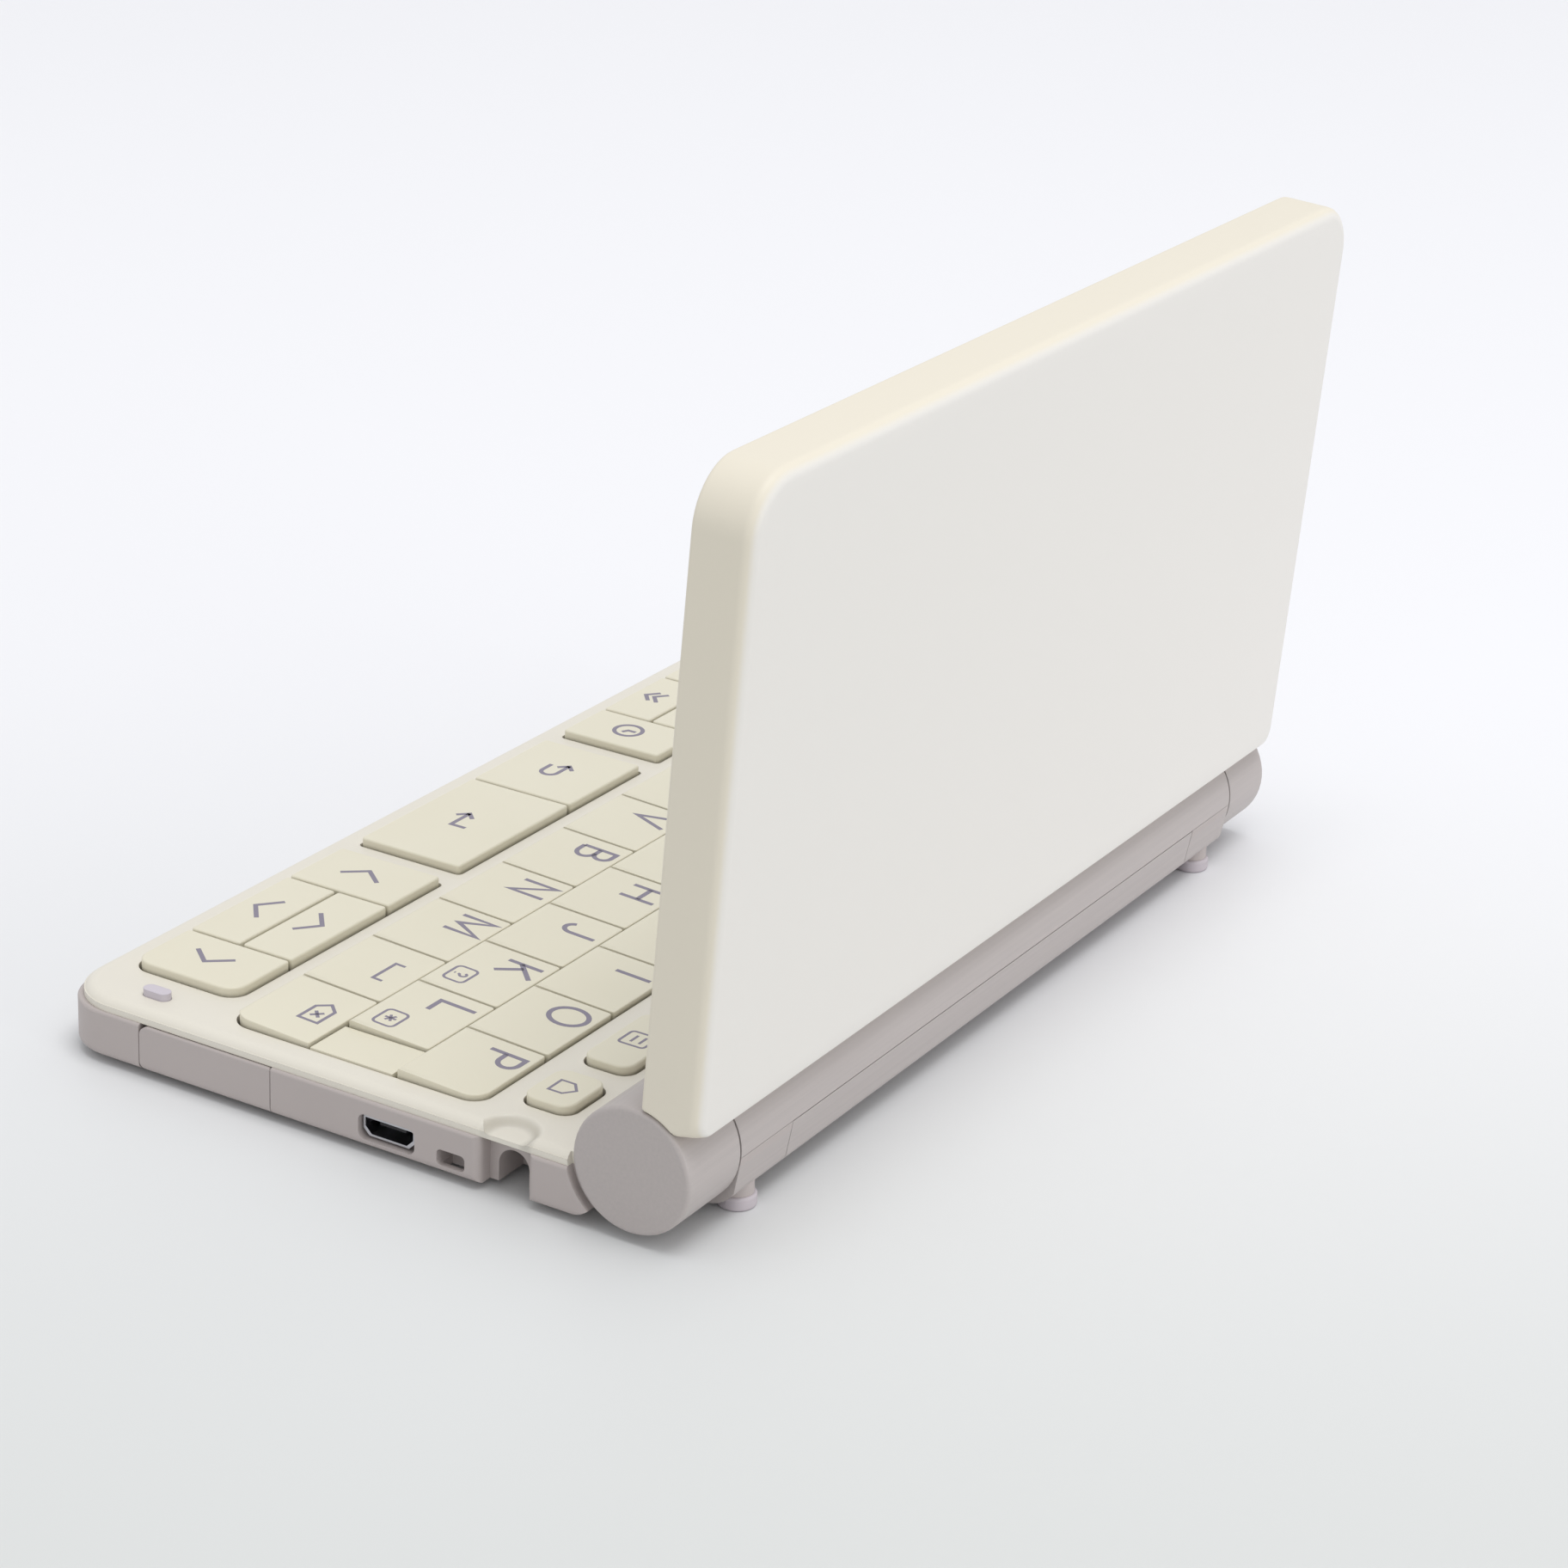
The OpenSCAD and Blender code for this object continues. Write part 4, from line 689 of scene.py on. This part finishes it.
def barrel_shell(name, ends, turns, inner_r, body):
    """Shell round the barrel's lower rear: one closed section swept along the barrel between two ends,
    through the angles turns, counted down from straight back. Inside the section is a circle. Outside
    it is the barrel's circle r, then the tangent r / cos(angle - SQUARE_FROM), then the fuller curve
    |y|^n + |z|^n = r^n with n = FULLER, which stands out furthest between rear and bottom."""
    turn = np.linspace(*turns, 60)
    ray = np.column_stack([np.cos(turn), -np.sin(turn)])
    fuller = np.sum(np.abs(ray) ** FULLER, axis=1) ** (-1 / FULLER)
    tangent = 1 / np.cos(np.clip(turn - SQUARE_FROM, 0, 1))
    outer = ray * BARREL_R * np.minimum(fuller, tangent)[:, None]
    section = np.concatenate([outer, ray[::-1] * inner_r]) + (axis_point.y, axis_point.z)
    rings = [np.column_stack([np.full(len(section), x), section]) for x in ends]
    made = mesh_object(name, np.concatenate(rings), ring_faces(2, len(section)))
    made.data.set_sharp_from_angle(angle=math.radians(35))
    made.data.materials.append(barrel_plastic)
    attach(made, body)
    return made


def barrel_lower():
    """Battery cover with the barrel's fuller lower rear, and the same form over the case beside it."""
    low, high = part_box("battery_cover")
    hood_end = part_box("barrel_cover")[1].x
    turns = (math.asin((axis_point.z - high.z) / BARREL_R),
             math.pi / 2 + math.asin((axis_point.y - low.y) / BARREL_R))
    cover = barrel_shell("cover_shell", (low.x, high.x), turns, BARREL_R - COVER_WALL, COVER)
    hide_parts("battery_cover")
    for side, name in ((-1, "barrel_skin_left"), (1, "barrel_skin_right")):
        ends = (side * (high.x + COVER_SEAM), side * (hood_end - SKIN_END))
        barrel_shell(name, ends, turns, BARREL_R - SKIN_WALL, BASE)


lid_cover()
screen_border()
barrel_lower()


# ---------------------------------------------------------------------------
# Table, light and camera
# ---------------------------------------------------------------------------

# the level direction away from the camera, and where along it the table's painted shade fades to its paler
# grey, in metres
FROM_CAMERA = (-0.863, -0.505, 0)
NEAR, FAR = -0.22, 0.12
# the photograph's focal length and width in pixels, and its camera's seat in millimetres, its line of
# sight and its upward direction, all from the fit to measured edges
FOCAL_PX, PHOTO_PX = 4721.2, 1824
SEAT = (410.87, 297.38, 222.96)
SIGHT, UPWARD = (-0.7968, -0.4656, -0.3852), (-0.3094, -0.2332, 0.9219)


def table():
    """White table top, far wider than the view, with painted shade that makes it darker on the camera's side
    and a little paler away from it. The step between its two greys follows the distance away from the
    camera."""
    reach = 3.0
    corners = [(-reach, -reach, 0), (reach, -reach, 0), (reach, reach, 0), (-reach, reach, 0)]
    made = mesh_object("table", corners, [np.arange(4)[None, :]], smooth=False)
    material, tree, place = new_material("white_table_with_painted_shade")
    away = add(tree, "VectorMath", {0: place, 1: FROM_CAMERA}, operation="DOT_PRODUCT")
    step = add(tree, "MapRange", {"Value": away.outputs["Value"], "From Min": NEAR, "From Max": FAR},
               interpolation_type="SMOOTHSTEP")
    # the first, darker grey is painted shade on the camera's side of the table; the second is the table's
    # own white
    mix = add(tree, "Mix", {0: step.outputs["Result"], MIX_FIRST: "#CDCFCD", MIX_SECOND: "#ECECEF"},
              data_type="RGBA")
    shader = add(tree, "BsdfPrincipled", {"Base Color": mix.outputs[MIX_RESULT]}, Roughness=0.5)
    add(tree, "OutputMaterial", {"Surface": shader.outputs["BSDF"]})
    made.data.materials.append(material)


def area_light(name, place, target, size, power):
    """Square white soft box at place, facing target."""
    data = bpy.data.lights.new(name, "AREA")
    data.shape = "SQUARE"
    data.size = size
    data.energy = power
    made = bpy.data.objects.new(name, data)
    made.location = place
    made.rotation_euler = (Vector(target) - Vector(place)).to_track_quat("-Z", "Y").to_euler()
    bpy.context.scene.collection.objects.link(made)


def camera():
    """Camera at the photograph's place: its lens, its seat and its slight roll."""
    data = bpy.data.cameras.new("camera")
    data.sensor_width = 36
    data.lens = data.sensor_width * FOCAL_PX / PHOTO_PX
    data.clip_start = 0.01
    data.clip_end = 10
    made = bpy.data.objects.new("camera", data)
    ahead = Vector(SIGHT).normalized()
    side = ahead.cross(Vector(UPWARD)).normalized()
    turn = Matrix((side, side.cross(ahead), -ahead)).transposed().to_4x4()
    made.matrix_world = Matrix.Translation(at(*SEAT)) @ turn
    bpy.context.scene.collection.objects.link(made)
    bpy.context.scene.camera = made


def world():
    """Even white surroundings."""
    made = bpy.data.worlds.new("studio")
    made.use_nodes = True
    tree = made.node_tree
    tree.nodes.clear()
    glow = add(tree, "Background", {"Color": "#FAFBFD"}, Strength=0.8)
    add(tree, "OutputWorld", {"Surface": glow.outputs["Background"]})
    bpy.context.scene.world = made


table()
world()
# soft boxes: place, target and width in metres, power in watts
area_light("soft_box_above", (0.1, 0.45, 2.15), (0, 0, 0.03), 1.2, 20.5)
area_light("soft_box_behind", (0.1, 2.2, 0.2), (0, 0, 0.03), 1.0, 11.5)
camera()
bpy.context.scene.view_settings.view_transform = "Standard"
